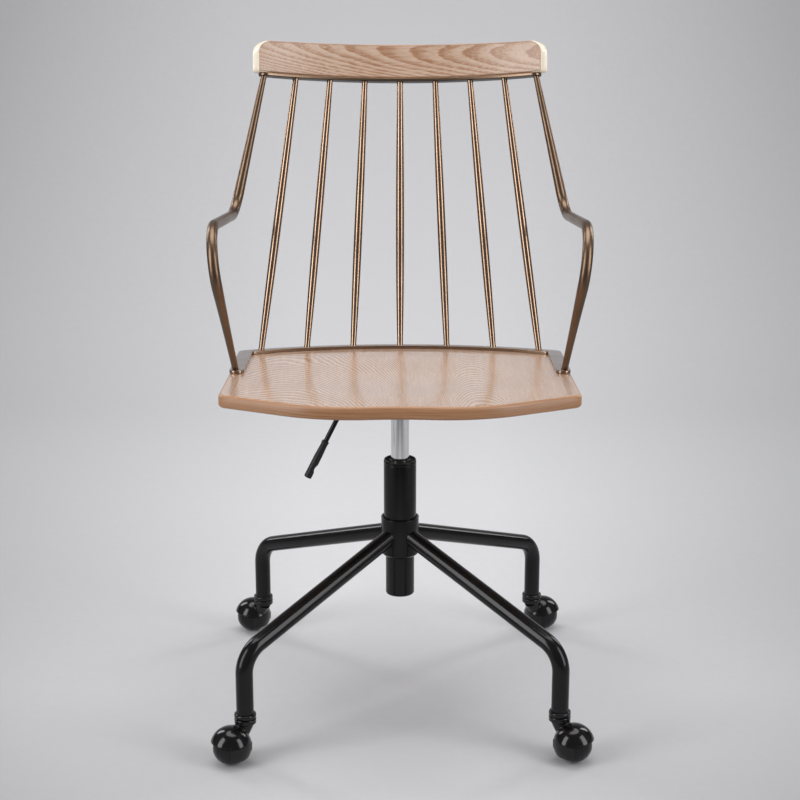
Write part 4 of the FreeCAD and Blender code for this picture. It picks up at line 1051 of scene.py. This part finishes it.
casterSizes = {"ball": 27.0, "outer": 25.0, "inner": 18.5, "pocket": 26.0, "hub": 9.0, "gap": 0.8,
               "hood": 30.3, "lip": 8.5, "cheek": -3.0, "cheekLow": -15.0, "side": 20.0, "trail": 18.0,
               "ringTop": 63.6, "ringHeight": 8.0, "ringRadius": 16.0, "neckTop": 13.0, "neckFoot": 12.0,
               "boss": 6.5, "axle": 4.0, "bossStand": 0.3, "play": 0.4, "ringGroove": (3.4, 4.0, 4.6),
               "ringGrooveDepth": 1.2, "ringRound": 1.2, "bossRound": 1.0, "neckShare": 0.5,
               "neckLap": 1.0, "sides": 80, "voxel": 0.7, "smoothing": (0.5, 5)}
wheelSizes = {"dishRadii": (5.5, 6.2), "dishDepth": 1.6, "rimStep": 0.2, "grooves": (15.5, 8.0), "groove": 0.55,
              "pocketWall": 3.0, "axlePlay": 0.05, "axleCover": 7.6}
socketSizes = {"height": 7.0, "round": 2.6}


# Takes a caster built with its ball at the origin, outer side +X and trailing +Y, to its leg.
def casterFrame(number):
    c = casterSizes
    spot = legDirection(number) * legSizes["reach"] * mm
    outX, outY = math.copysign(1, spot.x), math.copysign(1, spot.y)
    ball = spot + Vector((outX * c["side"], outY * c["trail"], c["ball"])) * mm
    return Matrix.Translation(ball) @ Matrix.Diagonal((outX, outY, 1, 1))


def solidObject(name, build):
    bm = bmesh.new()
    build(bm)
    return linked(name, bareMesh(bm, name))


def block(bm, low, high):
    made = bmesh.ops.create_cube(bm, size=1.0)["verts"]
    low, high = Vector(low) * mm, Vector(high) * mm
    for vertex in made:
        vertex.co = Vector([low[i] if vertex.co[i] < 0 else high[i] for i in range(3)])


def ballProfile(radius, steps=40):
    return [(radius * math.sin(math.pi * k / steps) * mm, -radius * math.cos(math.pi * k / steps) * mm)
            for k in range(steps + 1)]


def combine(target, tool, operation):
    modifier = target.modifiers.new(operation, "BOOLEAN")
    modifier.object, modifier.operation, modifier.solver = tool, operation, "EXACT"


# The hood as one moulding: capped shell, leaning neck and stacked rings, edges softened.
def makeHoodMesh():
    c = casterSizes
    stem = Vector((-c["side"], -c["trail"], 0))
    ringTop = c["ringTop"] - c["ball"]

    def ballOf(radius):
        return lambda bm: revolve(bm, ballProfile(radius), (0, 0, 0), (0, 0, 1), c["sides"])

    shell = solidObject("hoodShell", ballOf(c["hood"]))
    tools = []

    def tool(name, build, operation=None):
        tools.append(solidObject(name, build))
        if operation:
            combine(shell, tools[-1], operation)
        return tools[-1]

    far = 80.0
    region = tool("hoodRegion", lambda bm: block(bm, (-far, -far, c["cheekLow"]), (c["cheek"], far, far)))
    cap = tool("hoodCap", lambda bm: block(bm, (-far, -far, c["lip"]), (far, far, far)))
    combine(region, cap, "UNION")
    combine(shell, region, "INTERSECT")
    foot = stem * c["neckShare"] + Vector((0, 0, c["lip"]))
    neckTop = stem + Vector((0, 0, ringTop - c["ringHeight"] + c["neckLap"]))
    axis = neckTop - foot
    tool("hoodNeck", lambda bm: revolve(bm, scaled([(0, 0), (c["neckFoot"], 0), (c["neckTop"], axis.length),
                                                    (0, axis.length)]), foot * mm, axis, 48), "UNION")
    ringLow = ringTop - c["ringHeight"]
    radius, (low, middle, high) = c["ringRadius"], c["ringGroove"]
    ringProfile = [(0, 0), (radius, 0), (radius, low), (radius - c["ringGrooveDepth"], middle), (radius, high),
                   (radius, c["ringHeight"]), (0, c["ringHeight"])]
    tool("hoodRing", lambda bm: revolve(bm, scaled(rounded(ringProfile, c["ringRound"])),
                                        (stem + Vector((0, 0, ringLow))) * mm, (0, 0, 1), 64), "UNION")
    tool("hoodClear", ballOf(c["ball"] + c["gap"]), "DIFFERENCE")
    bossFoot = c["inner"] + c["play"]
    bossLength = c["hood"] + c["bossStand"] - bossFoot
    bossProfile = [(0, 0), (c["boss"], 0), (c["boss"], bossLength), (0, bossLength)]
    tool("hoodBoss", lambda bm: revolve(bm, scaled(rounded(bossProfile, c["bossRound"])),
                                        (-bossFoot * mm, 0, 0), (-1, 0, 0), 48), "UNION")
    remesh = shell.modifiers.new("remesh", "REMESH")
    remesh.mode, remesh.voxel_size = "VOXEL", c["voxel"] * mm
    smooth = shell.modifiers.new("smooth", "SMOOTH")
    smooth.factor, smooth.iterations = c["smoothing"]
    mesh = modifiedMesh(shell)
    for made in tools + [shell]:
        bpy.data.objects.remove(made)
    return mesh


# The rolling ball: flat outer face with a turned groove, tyre band, pocket on the axle side.
def makeWheelMesh():
    c, w = casterSizes, wheelSizes
    ball, outer, inner = c["ball"], c["outer"], c["inner"]
    dish, edge = w["dishRadii"]
    rim, mouth = math.sqrt(ball ** 2 - outer ** 2), math.sqrt(ball ** 2 - inner ** 2)
    profile = [(0, outer - w["dishDepth"]), (dish, outer - w["dishDepth"]), (edge, outer),
               (rim - w["rimStep"], outer)]
    steps = 44
    start, end = math.acos(outer / ball), math.acos(-inner / ball)
    for k in range(1, steps):
        turn = start + (end - start) * k / steps
        radius, along = ball, ball * math.cos(turn)
        for groove in w["grooves"]:
            radius -= max(0.0, w["groove"] - abs(along - groove))
        profile.append((radius * math.sin(turn), along))
    wall, bore, deep = mouth - w["pocketWall"], c["axle"] + w["axlePlay"], c["pocket"] - inner
    profile += [(mouth, -inner), (wall, -inner), (wall, deep), (c["hub"], deep), (c["hub"], -inner),
                (bore, -inner), (bore, outer - w["axleCover"]), (0, outer - w["axleCover"])]
    bm = bmesh.new()
    revolve(bm, scaled(profile), (0, 0, 0), (1, 0, 0), 72)
    return meshFrom(bm, "wheelMaster", [wheelPlastic], 32)


def placedPiece(master, name, matrix, material, body, nodeName):
    bm = bmesh.new()
    bm.from_mesh(master)
    bm.transform(matrix)
    addPiece(bm, name, [material], body, [nodeName], 45)


def makeCasters():
    c, s = casterSizes, socketSizes
    hood, wheel = makeHoodMesh(), makeWheelMesh()
    low, high = legSizes["endHeight"] - s["height"], legSizes["endHeight"]
    profile = rounded([(0, low), (c["ringRadius"], low), (c["ringRadius"], high), (0, high)], s["round"], 6)
    for number in range(legSizes["count"]):
        matrix, tag = casterFrame(number), number + 1
        placedPiece(hood, f"casterHood{tag}", matrix, hoodPlastic, f"caster_{tag}",
                    f"caster_hood_{tag}")
        placedPiece(wheel, f"casterWheel{tag}", matrix, wheelPlastic, f"wheel_{tag}",
                    f"caster_wheel_{tag}")
        turnedPiece(f"stemSocket{tag}", profile, 64, hoodPlastic, "base", f"stem_socket_{tag}",
                    legDirection(number) * legSizes["reach"] * mm)


makeCasters()
print("casters ready")


# Lever and mechanism: eased copies of the built parts

easedParts = {
    "lever_rod": ("leverRod", "lever", "black_enamel", enamel, 0.5),
    "lever_grip": ("leverGrip", "lever", "black_plastic", gripPlastic, 0.5),
    "mount_plate": ("mountPlate", "seat", "black_enamel", enamel, 0.5),
    "taper_socket": ("taperSocket", "seat", "black_enamel", enamel, 0.6),
    "lever_bracket": ("leverBracket", "seat", "black_enamel", enamel, 0.5),
    "mount_screws": ("mountScrews", "seat", "raw_steel", steel, 0.6),
    "frame_bolts": ("frameBolts", "seat", "raw_steel", steel, 0.5),
}
for nodeName, (name, body, slot, material, edge) in easedParts.items():
    softCopy(name, nodeName, body, material, edge)
print("lever and mechanism ready")


# Carried-over nodes

finishOf = {
    "crest_screws": darkSteel, "lever_pivot_pin": steel, "release_pin": steel, "end_guide": bushPlastic,
    "piston_rod": steel, "retaining_clip": darkSteel, "upper_race": steel, "lower_race": steel,
    "bearing_balls": steel, "bumper": rubber,
}
for number in range(1, legSizes["count"] + 1):
    finishOf |= {f"caster_stem_{number}": steel, f"caster_axle_{number}": steel}
for nodeName, finish in finishOf.items():
    materials = nodes[nodeName].data.materials
    materials.clear()
    materials.append(finish)


# Stage, light, camera

# The paper's colour carries painted light and shade. From floorShade it lightens to full between
# paintedLightFrom and paintedLightTo, making up for the lamps' falloff towards the backdrop. The fan keys paint
# shade towards the sides. The front keys paint shade on the floor before the chair, most of it out of view,
# where the chrome tube reflects it as a dark band.
stageLook = {"paper": (0.655, 0.655, 0.672), "floorShade": 0.93, "paintedLightFrom": 0.8, "paintedLightTo": 2.1,
             "fanFrom": 0.05, "fanTo": 0.30, "fanShade": 0.56, "fanCentre": -2.9, "fanNear": 0.4,
             "fanRise": 0.6, "frontFrom": 0.0, "frontTo": 1.7, "frontShade": 0.40,
             "tooth": (60.0, 2.0), "toothShade": (0.99, 1.01, 0.3, 0.7), "worldLevel": 0.20,
             "worldColour": (1.0, 1.0, 1.02, 1.0)}
stageSizes = {"half": 9.0, "front": -5.0, "rear": 3.2, "bend": 1.6, "top": 6.5, "steps": 24}
middle = (0, 0, 0.5)
# Each lamp: place, what it points at, size in metres, power in watts, shape.
lamps = {
    "rimLeft": ((-1.9, 1.5, 1.7), middle, (0.6, 1.8), 17.0, "ELLIPSE"),
    "rimRight": ((1.9, 1.5, 1.7), middle, (0.6, 1.8), 15.0, "ELLIPSE"),
    "sideLeft": ((-2.0, -1.2, 1.25), middle, (1.0, 2.2), 38.0, "RECTANGLE"),
    "sideRight": ((2.0, -1.2, 1.25), middle, (1.0, 2.2), 34.0, "RECTANGLE"),
    "overhead": ((0, 0.2, 3.4), (0, 0.1, 0.4), (3.0, 2.4), 66.0, "ELLIPSE"),
}


# Floor and backdrop as one sweep, so no corner shows behind the chair.
def makeStage():
    size = stageSizes
    bend, bendStart = size["bend"], size["rear"] - size["bend"]
    profile = [(size["front"], 0.0), (bendStart, 0.0)]
    for k in range(1, size["steps"] + 1):
        turn = math.pi / 2 * k / size["steps"]
        profile.append((bendStart + bend * math.sin(turn), bend * (1 - math.cos(turn))))
    profile.append((size["rear"], size["top"]))
    bm = bmesh.new()
    left, right = ([bm.verts.new((side * size["half"], y, z)) for y, z in profile] for side in (-1, 1))
    for k in range(len(profile) - 1):
        bm.faces.new((left[k], right[k], right[k + 1], left[k + 1]))
    mesh = bareMesh(bm, "studioSweep", False)
    mesh.polygons.foreach_set("use_smooth", [True] * len(mesh.polygons))
    g = Graph("studioPaperPaintedShade")
    place = g.coordinates()
    x, y, z = g.split(place)
    s = stageLook
    # Painted light and shade in the paper: lighter towards the backdrop, darker towards the sides and in front
    # of the chair.
    shade = g.grey(g.noise(place, *s["tooth"]), *s["toothShade"])
    shade = g.times(shade, g.grey(y, s["floorShade"], 1.0, s["paintedLightFrom"], s["paintedLightTo"]))
    far = g.math("MAXIMUM", g.minus(y, s["fanCentre"]), s["fanNear"])
    fan = g.math("DIVIDE", g.math("ABSOLUTE", x), far)
    fan = g.math("DIVIDE", fan, g.plus(g.times(z, s["fanRise"]), 1.0))
    side = g.grey(fan, 1.0, s["fanShade"], s["fanFrom"], s["fanTo"])
    front = g.grey(g.times(y, -1.0), 1.0, s["frontShade"], s["frontFrom"], s["frontTo"])
    shade = g.times(shade, g.times(side, front))
    colour = g.mix(shade, (0.0, 0.0, 0.0), s["paper"])
    mesh.materials.append(g.finish(**{"Base Color": colour, "Roughness": 0.9, "Specular IOR Level": 0.1}))
    linked("studioSweep", mesh)


def makeLight():
    for name, (place, target, size, power, shape) in lamps.items():
        data = bpy.data.lights.new(name, "AREA")
        data.shape, data.energy = shape, power
        data.size, data.size_y = size
        lamp = linked(name, data)
        lamp.location = place
        lamp.rotation_euler = (Vector(target) - Vector(place)).to_track_quat("-Z", "Y").to_euler()
    world = bpy.data.worlds.new("studio")
    scene.world = world
    world.use_nodes = True
    background = world.node_tree.nodes["Background"]
    background.inputs["Color"].default_value = stageLook["worldColour"]
    background.inputs["Strength"].default_value = stageLook["worldLevel"]


cameraSizes = {"focal": 1750.0, "pitch": 15.5, "distance": 2551.0, "height": 1183.4, "frame": 800.0,
               "sensor": 36.0, "clip": (0.05, 60.0)}


def makeCamera():
    c = cameraSizes
    data = bpy.data.cameras.new("photoCamera")
    data.sensor_width = c["sensor"]
    data.sensor_fit = "HORIZONTAL"
    data.lens = c["focal"] / c["frame"] * data.sensor_width
    data.clip_start, data.clip_end = c["clip"]
    camera = linked("photoCamera", data)
    camera.location = (0, -c["distance"] * mm, c["height"] * mm)
    camera.rotation_euler = (math.radians(90 - c["pitch"]), 0, 0)
    scene.camera = camera


makeStage()
makeLight()
makeCamera()
scene.view_settings.view_transform = "Standard"
print("stage ready")

bpy.context.view_layer.update()
